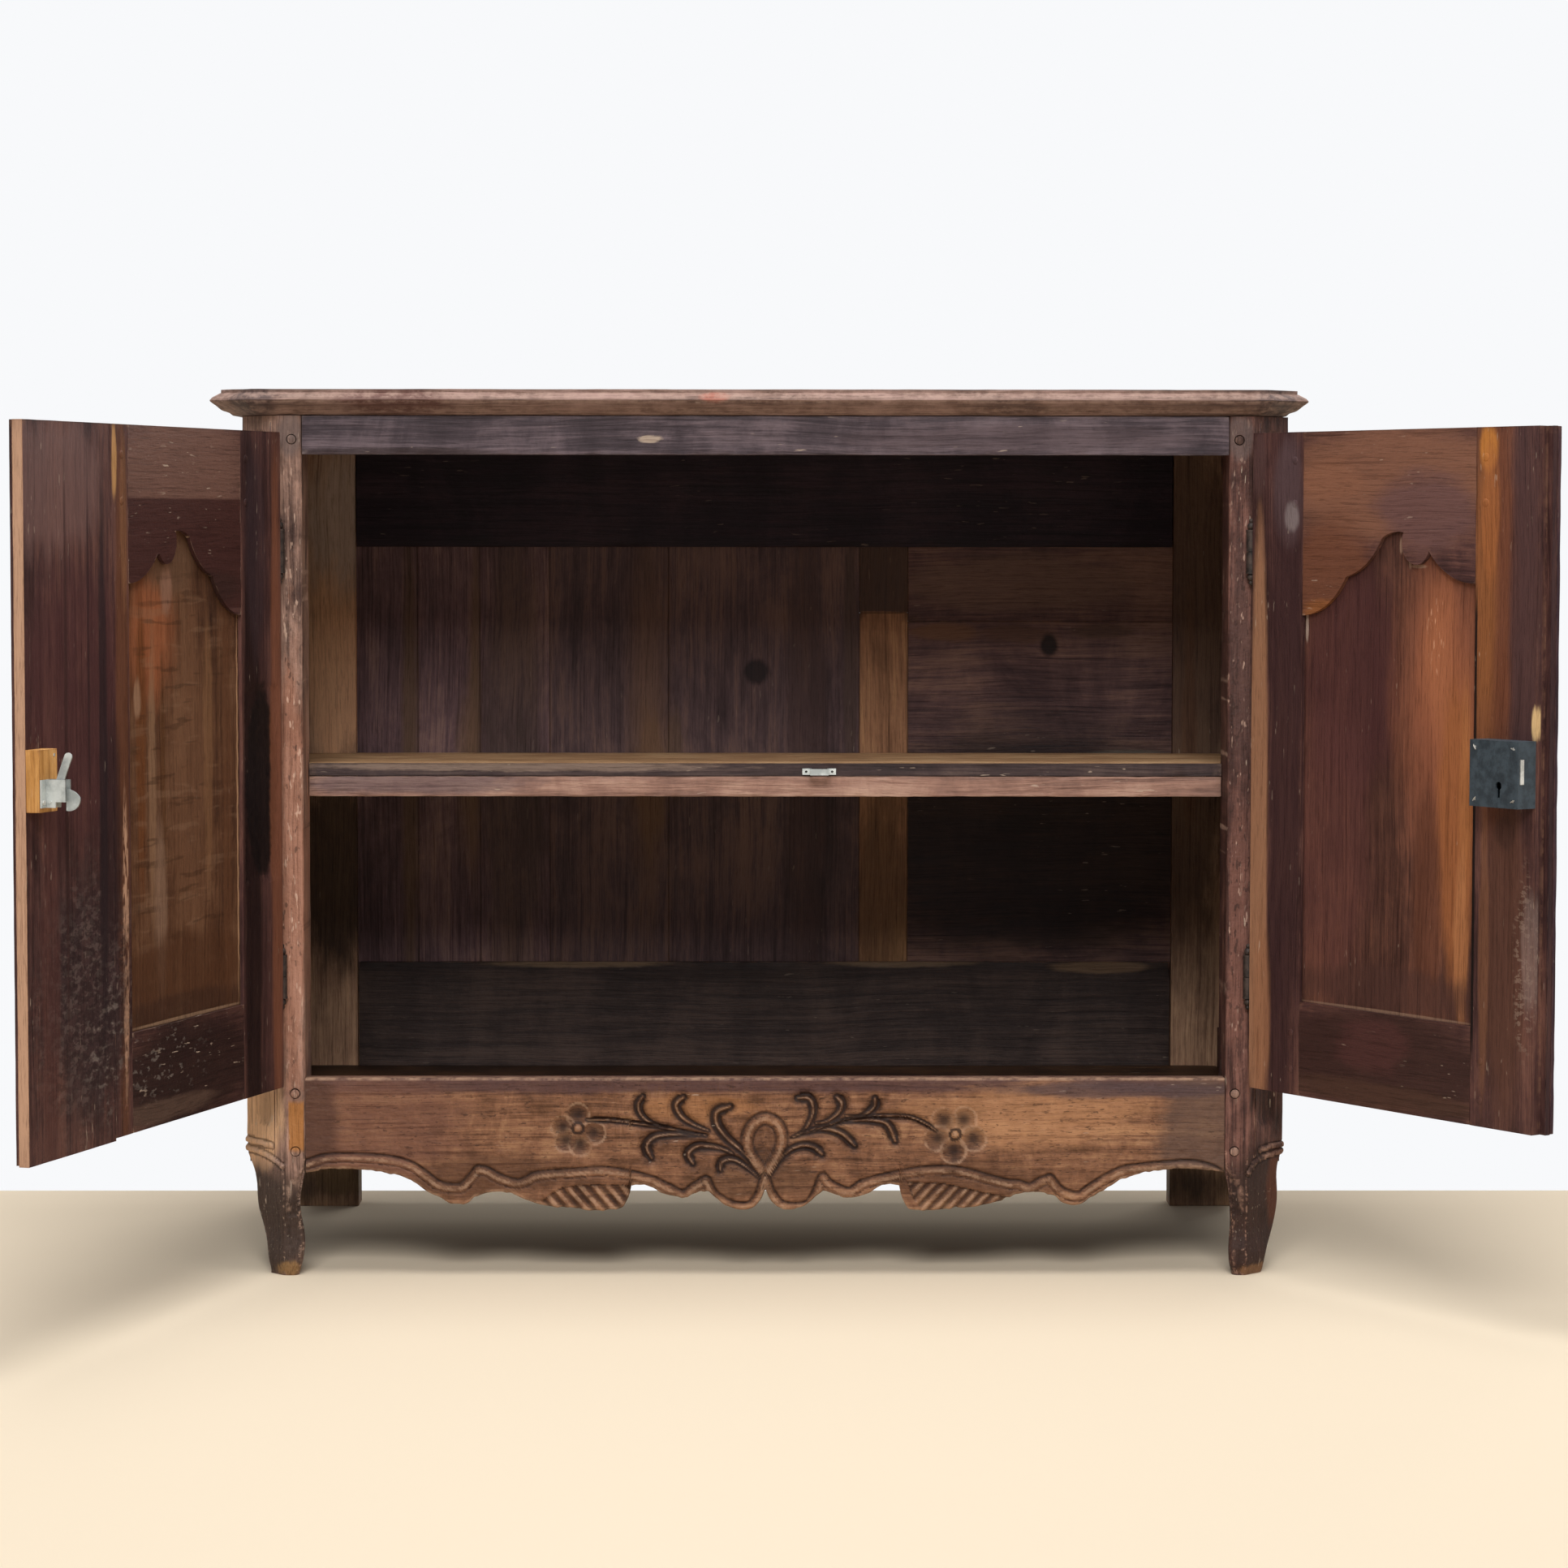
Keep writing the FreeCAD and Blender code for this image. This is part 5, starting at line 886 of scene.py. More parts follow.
for index, (nodeName, look) in enumerate(boardLooks.items()):
    wornBoard(nodeName, "worn_" + nodeName, finishes[finishOf[nodeName]], dict(look, seed=index))
print("boards made")


def smoothLine(points, count=60):
    # Catmull-Rom through the points
    line = []
    ends = [points[0]] + list(points) + [points[-1]]
    share = count // (len(points) - 1)
    for a, b, c, d in zip(ends, ends[1:], ends[2:], ends[3:]):
        for k in range(share):
            t = k / share
            line.append([0.5 * (2 * q + (r - p) * t + (2 * p - 5 * q + 4 * r - s) * t * t
                                + (3 * q - p - 3 * r + s) * t ** 3) for p, q, r, s in zip(a, b, c, d)])
    line.append(list(points[-1]))
    return np.array(line)


def nearLine(x, z, line):
    # distance from each point to a line, its side and its share along the line
    best = np.full(x.shape, 1e9)
    share = np.zeros(x.shape)
    side = np.zeros(x.shape)
    total = len(line) - 1
    for k in range(total):
        ax, az = line[k]
        dx, dz = line[k + 1] - line[k]
        length = dx * dx + dz * dz + 1e-12
        t = np.clip(((x - ax) * dx + (z - az) * dz) / length, 0, 1)
        ex, ez = x - ax - t * dx, z - az - t * dz
        distance = np.hypot(ex, ez)
        closer = distance < best
        best = np.where(closer, distance, best)
        share = np.where(closer, (k + t) / total, share)
        side = np.where(closer, np.sign(dx * ez - dz * ex), side)
    return best, share, side


# Front posts: worn faces, a fluted cant, carved bands above the feet and a ridge that runs on from the apron
postShape = {
    "half": 620, "cant": 47, "round": 1.6, "roundFrom": 38, "grid": (5, 7, 5), "crease": 50,
    "cantWidth": 67, "cantStep": 3.4, "cantCuts": 20, "bandFrom": 116, "bandStep": 1.7, "bandCuts": 28,
    "middle": 33, "fluteEdge": 15, "fluteDepth": 3.4, "fluteEnds": (176, 1004), "fluteDirt": 0.45,
    "lineAt": 9, "lineWidth": 1.6, "lineDepth": 1.1, "lineDirt": 0.5,
    "cantSkin": (-2.5, 1.0), "cantSpan": (-1, 68), "bandSkin": (-6, 3), "bandSpan": (-2, 80),
    "bandLow": 110, "bandHigh": 165, "ringWidth": 3.4, "ringRise": 2.2, "ringWear": 0.9,
    "grooveReach": 0.7, "grooveDepth": 0.9, "grooveDirt": 0.75,
    "ridgeTop": 132, "ridgeFace": 3.0, "ridgeFrom": 573.5, "ridgeDepth": 1.8, "ridgeFall": 2.5,
    "ridgeReach": 14, "ridgeWidth": 2.2, "ridgeWear": 0.8, "ridgeDirt": 0.5,
    "roughScale": 60, "roughDepth": 0.5, "knockScale": 24, "knockDepth": 0.6, "chipScale": 34,
    "chipDepth": 1.3,
}
# Centre lines of the two bands: distance along the cant from its inner corner, then height.
postBands = {
    -1: [[(19, 154), (34, 155), (50, 156), (67, 157)],
         [(0, 131), (14, 137), (30, 142), (48, 145), (67, 147)]],
    1: [[(24, 148), (40, 150), (67, 151)], [(2, 122), (14, 134), (30, 139), (67, 143)]],
}
postRidge = [(-546, 130), (-554, 119), (-561, 110), (-565, 96), (-567, 80)]


def within(value, span):
    return span[0] < value < span[1]


def fluteForm(u, z):
    # lift, wear and dirt of the flute and of the fine lines beside it
    shape = postShape
    lift = dirt = 0.0
    middle, (low, high) = shape["middle"], shape["fluteEnds"]
    halfWidth = middle - shape["fluteEdge"]
    ends = min(z - low, high - z)
    if ends > 0:
        narrow = math.sqrt(max(0.0, 1 - (1 - min(ends / halfWidth, 1)) ** 2))
        across = abs(u - middle) / (halfWidth * max(narrow, 0.05))
        if across < 1:
            lift -= shape["fluteDepth"] * (1 - across * across) ** 0.5 * narrow
            dirt = shape["fluteDirt"] * (1 - across * across)
        line = abs(abs(u - middle) - (middle - shape["lineAt"]))
        if line < shape["lineWidth"]:
            lift -= shape["lineDepth"] * (1 - line / shape["lineWidth"])
            dirt = max(dirt, shape["lineDirt"])
    return lift, 0.0, dirt


def bandForm(u, z, bands):
    # lift, wear and dirt of the rounded bands and of the grooves beside them
    shape = postShape
    rise = push = rub = dirt = 0.0
    spot = np.array([[min(u, shape["cantWidth"])], [z]])
    for line in bands:
        away = nearLine(spot[0], spot[1], line)[0][0] / shape["ringWidth"]
        if away < 1:
            rise = max(rise, shape["ringRise"] * math.sqrt(1 - away ** 2))
            rub = shape["ringWear"]
        elif away < 1 + shape["grooveReach"]:
            push += shape["grooveDepth"] * (1 - (away - 1) / shape["grooveReach"])
            dirt = shape["grooveDirt"]
    return rise - push, rub, dirt


def ridgeForm(x, z, ridge):
    # lift, wear and dirt of the foot's front face, which sinks on the inner side of the ridge
    shape = postShape
    distance = nearLine(np.array([x]), np.array([z]), ridge)[0][0]
    rub = shape["ridgeWear"] if distance < shape["ridgeWidth"] else 0.0
    inner = np.interp(z, ridge[::-1, 1], np.abs(ridge[::-1, 0]))
    if abs(x) < inner and distance < shape["ridgeReach"]:
        return -shape["ridgeDepth"] * min(1, distance / shape["ridgeFall"]), rub, shape["ridgeDirt"]
    return 0.0, rub, 0.0


def frontPost(side, node, name, material):
    matrix = frames["case"]
    mesh = looseCopy(node, matrix)
    shape = postShape
    roundEdges(mesh, sharpEdges(mesh, shape["roundFrom"]), shape["round"])
    cutGrid(mesh, [step * millimetre for step in shape["grid"]])
    corner = Vector((side * (shape["half"] - shape["cant"]), 0)) * millimetre
    along = Vector((side, 1)).normalized()
    out = Vector((side, -1)).normalized()
    for index in range(1, shape["cantCuts"]):  # finer cuts across the cant
        place = corner + along * index * shape["cantStep"] * millimetre
        sliceAt(mesh, (place.x, place.y, 0), (along.x, along.y, 0))
    for index in range(shape["bandCuts"]):  # and at the bands
        sliceAt(mesh, (0, 0, (shape["bandFrom"] + index * shape["bandStep"]) * millimetre), (0, 0, 1))
    markWear(mesh)
    grime, wear = (mesh.verts.layers.float[layer] for layer in ("grime", "wear"))
    bands = [smoothLine(line, 30) for line in postBands[side]]
    ridge = smoothLine([(-side * x, z) for x, z in postRidge], 30)
    moves = []
    for vertex in mesh.verts:
        place = vertex.co
        flat = Vector((place.x, place.y)) - corner
        u, off = flat.dot(along) / millimetre, flat.dot(out) / millimetre
        x, y, z = (size / millimetre for size in place)
        forms = []
        if within(off, shape["cantSkin"]) and within(u, shape["cantSpan"]) and vertex.normal.z < 0.5:
            forms.append(fluteForm(u, z))
        if (shape["bandLow"] < z < shape["bandHigh"] and within(off, shape["bandSkin"])
                and within(u, shape["bandSpan"])):
            forms.append(bandForm(u, z, bands))
        if z < shape["ridgeTop"] and y < shape["ridgeFace"] and abs(x) < shape["ridgeFrom"]:
            forms.append(ridgeForm(x, z, ridge))
        lift = 0.0
        for height, rub, dirt in forms:
            lift += height
            vertex[wear] = max(vertex[wear], rub)
            vertex[grime] = max(vertex[grime], dirt)
        rough = noise.noise(place * shape["roughScale"] + Vector((side, 0, 0))) * 0.5 + 0.5
        knock = noise.noise(place * shape["knockScale"] + Vector((side, 4, 0)))
        lift -= shape["roughDepth"] * rough * rough + shape["knockDepth"] * max(0.0, knock)
        if vertex[wear] > 0.5 and z > shape["bandHigh"]:
            lift -= shape["chipDepth"] * max(0.0, noise.noise(place * shape["chipScale"]))
        moves.append(vertex.normal * lift * millimetre)
    for vertex, move in zip(mesh.verts, moves):
        vertex.co += move
        vertex.co.z = max(vertex.co.z, 0.0)
    piece = makeObject(name, mesh, matrix, material, shape["crease"])
    return settle(piece, node)


frontPost(-1, "front_left_post", "leftFrontPost", finishes["leftPostWood"])
frontPost(1, "front_right_post", "rightFrontPost", finishes["rightPostWood"])
print("front posts made")


# Apron with its carving, as a fine relief over the node's own outline
apronShape = {
    "half": 545, "column": 1.7, "rows": 92, "crumble": 2.6, "crease": 70, "edgeBelow": 235,
    "rounding": 3.4, "roundDepth": 2.2, "topRounding": 2.5, "topDepth": 1.4, "roughness": 0.5,
    "pitDepth": 2.0, "pitFrom": 0.72, "rubFrom": 1.6, "rubWide": 2.6, "rubTop": 1.2, "wideShare": 1.2,
}
# Random grains of the carving: size in millimetres and seed
grains = {
    "crumbs": (5.5, 4), "wideCrumbs": (21, 8), "rub": (4.5, 6), "wideRub": (30, 9), "rough": (2.7, 1),
    "wideRough": (13, 2), "pits": (9, 5), "island": (3.2, 3),
}
leafShape = {
    "wide": 1.2, "depth": 4.4, "lean": 0.25, "tip": 0.08, "fade": 2.2, "reach": 4,
    "halo": 1.5, "haloWidth": 3.5, "haloDirt": 0.35, "ridge": 0.13, "ridgeWear": 0.9,
}
rollShape = {"half": 5.4, "groove": 3.0, "loopHalf": 6.2, "loopGroove": 2.8, "fall": 2.0, "grooveAt": 1.2,
             "grooveWide": 0.42}
islandShape = {"depth": 1.5, "uneven": 1.6, "dirt": 0.3}
petalShape = {"depth": 3.6, "long": 1.05, "reach": 1.25, "rim": 0.8, "dirt": 1.1, "wear": 0.7}
bossShape = {"radius": 5.5, "fall": 2.2, "reach": 1.5, "moat": 2.6}
shellShape = {"depth": 2.8, "least": 1.0, "rimWide": 2.6, "rimDepth": 2.6, "rimEnd": 740}
# The carving was drawn on two sheets. A sheet gives its zero in millimetres and its units in one
# millimetre, x to the right and y down.
sheets = {
    "left": {"zero": (-290.5, 254.56), "perMillimetre": (4.5473, 4.4884)},
    "right": {"zero": (-41.5, 254.56), "perMillimetre": (4.5473, 4.4884)},
}
# Leaves: sheet, centre line from the hooked head to the root, half width at the head and at the root.
leaves = [
    ("left", [(660, 180), (635, 230), (655, 285), (710, 325), (800, 345)], 28, 9),
    ("left", [(880, 185), (840, 225), (865, 285), (930, 330), (1020, 365)], 32, 10),
    ("left", [(1130, 235), (1060, 265), (1060, 330), (1110, 400), (1180, 460), (1240, 520), (1300, 600)],
     35, 12),
    ("left", [(705, 510), (680, 450), (720, 400), (800, 385), (900, 385), (980, 390)], 33, 9),
    ("left", [(930, 540), (905, 490), (950, 450), (1030, 450), (1100, 465), (1150, 490)], 32, 10),
    ("left", [(1075, 575), (1090, 530), (1150, 520), (1220, 560), (1290, 620)], 30, 10),
    ("left", [(360, 305), (500, 310), (650, 330), (780, 350), (900, 375), (1000, 390)], 17, 13),
    ("right", [(365, 190), (420, 190), (445, 230), (440, 290), (400, 360), (335, 400)], 32, 10),
    ("right", [(575, 185), (600, 215), (590, 260), (530, 310), (460, 325)], 32, 10),
    ("right", [(780, 190), (780, 230), (740, 270), (690, 290), (620, 285)], 30, 9),
    ("right", [(890, 420), (850, 335), (780, 310), (650, 310), (550, 330)], 32, 9),
    ("right", [(670, 445), (600, 380), (500, 355), (400, 375), (330, 400)], 32, 10),
    ("right", [(495, 490), (450, 455), (390, 445), (320, 470), (260, 530), (215, 600)], 32, 11),
    ("right", [(1110, 365), (1050, 325), (960, 290), (830, 285), (720, 290), (600, 310), (520, 340),
               (430, 360)],
     17, 13),
]
# Middle loop, the bead along the lower edge, the rosettes' petals and the ribbed shells.
loop = ("left", [(1310, 590), (1235, 480), (1225, 400), (1260, 330), (1320, 300), (1385, 330), (1410, 400),
                 (1395, 480), (1330, 590)])
beads = [
    ("left", [(-1150, 548), (-1037, 516), (-871, 514), (-701, 528), (-592, 559), (-514, 611), (-449, 659),
              (-370, 677),
              (-314, 672), (-270, 633), (-226, 578)]),
    ("left", [(-226, 578), (-183, 588), (-113, 626), (-20, 652), (40, 636), (100, 610), (300, 595),
              (430, 585),
              (560, 600), (700, 635), (800, 680), (880, 715), (930, 680), (1000, 635)]),
    ("left", [(1000, 635), (1040, 710), (1130, 765), (1230, 775), (1290, 720), (1320, 620)]),
    ("right", [(190, 630), (215, 700), (280, 770), (400, 775), (460, 720), (500, 620)]),
    ("right", [(500, 620), (540, 660), (640, 700), (720, 655), (850, 620), (1000, 590), (1130, 580),
               (1250, 590),
               (1400, 630), (1500, 655), (1555, 658), (1620, 675), (1686, 640), (1725, 626)]),
    ("right", [(1725, 626), (1760, 673), (1812, 708), (1886, 721), (1938, 686), (2021, 634), (2117, 586),
               (2221, 569),
               (2361, 556), (2487, 551), (2592, 573), (2674, 621)]),
]
rosettes = [
    ("left", (310, 350), [(310, 280), (230, 345), (395, 375), (245, 415), (320, 435)], 60),
    ("right", (1215, 385), [(1155, 310), (1260, 305), (1120, 405), (1312, 405), (1205, 470)], 66),
]
shells = [
    ("left", [(110, 740), (180, 690), (250, 660), (430, 652), (600, 655), (600, 700), (575, 800), (110, 800)],
     (180, 665), 0.85, 74),
    ("right", [(955, 640), (1050, 640), (1150, 645), (1350, 690), (1560, 735), (1560, 810), (1060, 810),
               (990, 735)], (1090, 660), -0.95, 68),
]


def onSheet(sheet, points):
    zero, scale = sheets[sheet]["zero"], sheets[sheet]["perMillimetre"]
    return [(zero[0] + x / scale[0], zero[1] - y / scale[1]) for x, y in points]


def softGrain(x, z, size, seed):
    # smooth random height between 0 and 1
    table = np.random.default_rng(seed).random((97, 97))
    u, w = (x / size) % 96, (z / size) % 96
    i, j = np.floor(u).astype(int), np.floor(w).astype(int)
    a, b = u - i, w - j
    a, b = a * a * (3 - 2 * a), b * b * (3 - 2 * b)
    low = table[i, j] * (1 - a) + table[i + 1, j] * a
    high = table[i, j + 1] * (1 - a) + table[i + 1, j + 1] * a
    return low * (1 - b) + high * b


def insideShape(x, z, points):
    inside = np.zeros(x.shape, bool)
    for (ax, az), (bx, bz) in zip(points, points[1:] + points[:1]):
        if az == bz:
            continue
        crosses = (z > az) != (z > bz)
        inside ^= crosses & (x < ax + (z - az) * (bx - ax) / (bz - az))
    return inside


class Relief:
    # depth below the flat face, dirt in the hollows and rubbed crests, over a field of points
    def __init__(self, x, z):
        self.x, self.z = x, z
        self.depth, self.grime, self.wear = (np.zeros(x.shape) for _ in range(3))

    def around(self, line, reach):
        low, high = line.min(0) - reach, line.max(0) + reach
        near = (self.x > low[0]) & (self.x < high[0]) & (self.z > low[1]) & (self.z < high[1])
        return (near,) + nearLine(self.x[near], self.z[near], line)

    def sink(self, near, depth, grime=None, wear=None):
        self.depth[near] = np.maximum(self.depth[near], depth)
        if grime is not None:
            self.grime[near] = np.maximum(self.grime[near], grime)
        if wear is not None:
            self.wear[near] = np.maximum(self.wear[near], wear)

    def leaf(self, sheet, points, head, root):
        # two hollow cuts with a sharp ridge between them, tapering to the root
        shape = leafShape
        scale = sheets[sheet]["perMillimetre"][0]
        head, root = (size * shape["wide"] / scale for size in (head, root))
        near, distance, share, side = self.around(smoothLine(onSheet(sheet, points)), head + shape["reach"])
        fade = share ** shape["fade"]
        width = head * np.clip(share / shape["tip"], 0.5, 1) ** 0.5 * (1 - fade) + root * fade
        u = distance / width
        deep = shape["depth"] * np.clip(width / head, 0.4, 1) * (1 + shape["lean"] * side)
        hollow = np.where(u < 1, np.sin(np.pi * np.clip(u, 0, 1)) ** 0.75, 0)
        outside = np.clip(1 - (distance - width) / shape["haloWidth"], 0, 1) * (u >= 1)
        dirt = np.clip(hollow * 1.1, 0, 1) * (u < 1) + shape["haloDirt"] * outside
        self.sink(near, deep * hollow + shape["halo"] * outside, dirt,
                  (u < shape["ridge"]) * shape["ridgeWear"])

    def roll(self, line, half, groove, above):
        # a rounded moulding between grooves; above: only on the upper side
        shape = rollShape
        near, distance, _, side = self.around(line, half * 3)
        u = distance / half
        crown = shape["fall"] * u ** 3
        away = np.abs(distance - half * shape["grooveAt"]) / (half * shape["grooveWide"])
        beside = groove * np.clip(1 - away, 0, 1)
        if above:
            beside = np.where(side * np.sign(line[-1][0] - line[0][0]) > 0, beside, 0)
        flat = np.where(u < 1, crown, beside)
        dirt = np.maximum(self.grime[near], np.clip(flat / groove, 0, 1))
        self.depth[near] = np.where(u < 1, crown, np.maximum(self.depth[near], flat))
        self.grime[near] = np.where(u < 0.75, 0, dirt)
        self.wear[near] = np.where(u < 0.35, 0.6, self.wear[near])

    def petal(self, place, middle, radius):
        shape = petalShape
        out = np.subtract(place, middle)
        length = math.hypot(*out)
        dx, dz = self.x - place[0], self.z - place[1]
        along = (dx * out[0] + dz * out[1]) / length
        across = (dx * out[1] - dz * out[0]) / length
        u = np.hypot(along / (radius * shape["long"]), across / radius)
        near = u < shape["reach"]
        u = u[near]
        hollow = shape["depth"] * np.sqrt(1 - np.clip(u, 0, 1) ** 2)
        rim = shape["rim"] * (shape["reach"] - u) / (shape["reach"] - 1)
        self.sink(near, np.where(u < 1, hollow, rim), np.clip(shape["dirt"] - u, 0, 0.9),
                  ((u > 0.92) & (u < 1.12)) * shape["wear"])

    def rosette(self, sheet, middle, petals, size):
        # round hollows about a boss in a moat
        (cx, cz), = onSheet(sheet, [middle])
        for place in onSheet(sheet, petals):
            self.petal(place, (cx, cz), size / sheets[sheet]["perMillimetre"][0])
        shape = bossShape
        boss = np.hypot(self.x - cx, self.z - cz) / shape["radius"]
        near = boss < shape["reach"]
        crown = shape["fall"] * (1 - np.sqrt(1 - np.clip(boss, 0, 1) ** 2))
        moat = shape["moat"] * (shape["reach"] - boss) / (shape["reach"] - 1)
        self.depth[near] = np.where(boss < 1, crown, np.maximum(self.depth, moat))[near]
        self.grime[near] = np.where(boss < 0.8, 0, 0.9)[near]
        self.wear[near] = np.where(boss < 0.5, 0.7, 0)[near]

    def shell(self, sheet, outline, start, slope, pitch):
        # slanting ribs inside an outline, with a rim that ends low on the sheet
        shape = shellShape
        zero, scale = sheets[sheet]["zero"], sheets[sheet]["perMillimetre"]
        border = onSheet(sheet, outline)
        near = insideShape(self.x, self.z, border)
        sheetX = (self.x[near] - zero[0]) * scale[0]
        sheetY = (zero[1] - self.z[near]) * scale[1]
        phase = (sheetX - start[0] - slope * (sheetY - start[1])) / pitch
        rib = 0.5 - 0.5 * np.cos(2 * np.pi * phase)
        distance = nearLine(self.x[near], self.z[near], np.array(border + border[:1]))[0]
        rim = np.clip(1 - distance / shape["rimWide"], 0, 1) * (sheetY < shape["rimEnd"])
        self.depth[near] = np.maximum(shape["least"] + shape["depth"] * rib ** 1.4, shape["rimDepth"] * rim)
        self.grime[near] = np.maximum(0.75 * rib ** 1.5, rim * 0.95)
        self.wear[near] = np.where(rib < 0.3, 0.75, 0)


def apronEdge():
    # lower outline of the node's front face, as sorted x and z in millimetres
    matrix = frames["case"].inverted()
    points = [matrix @ vertex.co / millimetre for vertex in cadNodes["apron"].data.vertices]
    front = min(point.y for point in points)
    low = {}
    for point in points:
        if abs(point.y - front) < 0.05 and point.z < apronShape["edgeBelow"]:
            key = round(point.x, 1)
            low[key] = min(low.get(key, 1e9), point.z)
    places = sorted(low)
    return np.array(places), np.array([low[place] for place in places]), front


def carve(relief):
    for leaf in leaves:
        relief.leaf(*leaf)
    for rosette in rosettes:
        relief.rosette(*rosette)
    middle = smoothLine(onSheet(*loop))
    island = insideShape(relief.x, relief.z, [tuple(point) for point in middle])
    uneven = softGrain(relief.x, relief.z, *grains["island"])[island]
    relief.sink(island, islandShape["depth"] + islandShape["uneven"] * uneven, islandShape["dirt"])
    relief.roll(middle, rollShape["loopHalf"], rollShape["loopGroove"], False)
    for shell in shells:
        relief.shell(*shell)
    for sheet, points in beads:
        relief.roll(smoothLine(onSheet(sheet, points), 90), rollShape["half"], rollShape["groove"], True)


def ageRelief(relief, bottom, top):
    # rounds the two long edges, rubs and chips the lower one and roughens the whole face
    shape = apronShape
    x, z = relief.x, relief.z
    fromEdge = z - bottom[:, None]
    relief.depth += shape["roundDepth"] * np.clip(1 - fromEdge / shape["rounding"], 0, 1) ** 2
    ragged = softGrain(x, z, *grains["rub"]) * softGrain(x, z, *grains["wideRub"])
    rubbed = np.clip(shape["rubFrom"] - fromEdge / shape["rubWide"], 0, 1)
    relief.wear = np.maximum(relief.wear, rubbed * (0.5 + ragged))
    fromTop = (top - z) / shape["topRounding"]
    relief.wear = np.maximum(relief.wear, np.clip(shape["rubTop"] - fromTop, 0, 1))
    relief.depth += shape["topDepth"] * np.clip(1 - fromTop, 0, 1) ** 2
    rough, wideRough, pits = (softGrain(x, z, *grains[name]) for name in ("rough", "wideRough", "pits"))
    relief.depth += shape["roughness"] * (rough + shape["wideShare"] * wideRough)
    relief.depth += shape["pitDepth"] * np.clip(pits - shape["pitFrom"], 0, 1)


def carvedApron():
    shape = apronShape
    edgeX, edgeZ, front = apronEdge()
    low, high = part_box("apron")
    top, back = high.z / millimetre, front + (high.y - low.y) / millimetre
    half, rows = shape["half"], shape["rows"]
    x = np.linspace(-half, half, int(2 * half / shape["column"]) + 1)
    columns = len(x) - 1
    crumbs = softGrain(x, x * 0, *grains["crumbs"]) * softGrain(x, x * 0, *grains["wideCrumbs"])
    bottom = np.interp(x, edgeX, edgeZ) + shape["crumble"] * crumbs
    fieldX = np.repeat(x[:, None], rows + 1, 1)
    fieldZ = top + (bottom[:, None] - top) * np.linspace(0, 1, rows + 1)[None, :]
    relief = Relief(fieldX, fieldZ)
    carve(relief)
    ageRelief(relief, bottom, top)
    mesh = bmesh.new()
    grime, wear = (mesh.verts.layers.float.new(name) for name in ("grime", "wear"))

    def point(px, py, pz, dirt=0.0, rub=0.0):
        made = mesh.verts.new((px * millimetre, py * millimetre, pz * millimetre))
        made[grime], made[wear] = dirt, rub
        return made

    fronts = [[point(fieldX[i, j], front + relief.depth[i, j], fieldZ[i, j], relief.grime[i, j],
                     relief.wear[i, j]) for j in range(rows + 1)] for i in range(columns + 1)]
    backs = [[point(x[i], back, top + (bottom[i] - top) * w) for w in (0, 0.5,
        1)] for i in range(columns + 1)]
    for i in range(columns):
        for j in range(rows):
            mesh.faces.new((fronts[i][j], fronts[i][j + 1], fronts[i + 1][j + 1], fronts[i + 1][j]))
        for j in range(2):
            mesh.faces.new((backs[i][j], backs[i + 1][j], backs[i + 1][j + 1], backs[i][j + 1]))
        mesh.faces.new((fronts[i][0], fronts[i + 1][0], backs[i + 1][0], backs[i][0]))
        mesh.faces.new((fronts[i][-1], backs[i][-1], backs[i + 1][-1], fronts[i + 1][-1]))
    for i in (0, columns):
        ring = fronts[i] + backs[i][::-1]
        mesh.faces.new(ring if i else ring[::-1])
    bmesh.ops.recalc_face_normals(mesh, faces=mesh.faces)
    piece = makeObject("carvedApron", mesh, frames["case"], finishes["apronWood"], shape["crease"])
    return settle(piece, "apron")


carvedApron()
print("apron carved")


# Pegs and screws: a domed head, slotted or plain, on a shank
headShape = {"segments": 20, "rings": 12, "slotWide": 0.28, "slotLong": 3.0}  # slot in head radii
pegProud = 0.3 * millimetre


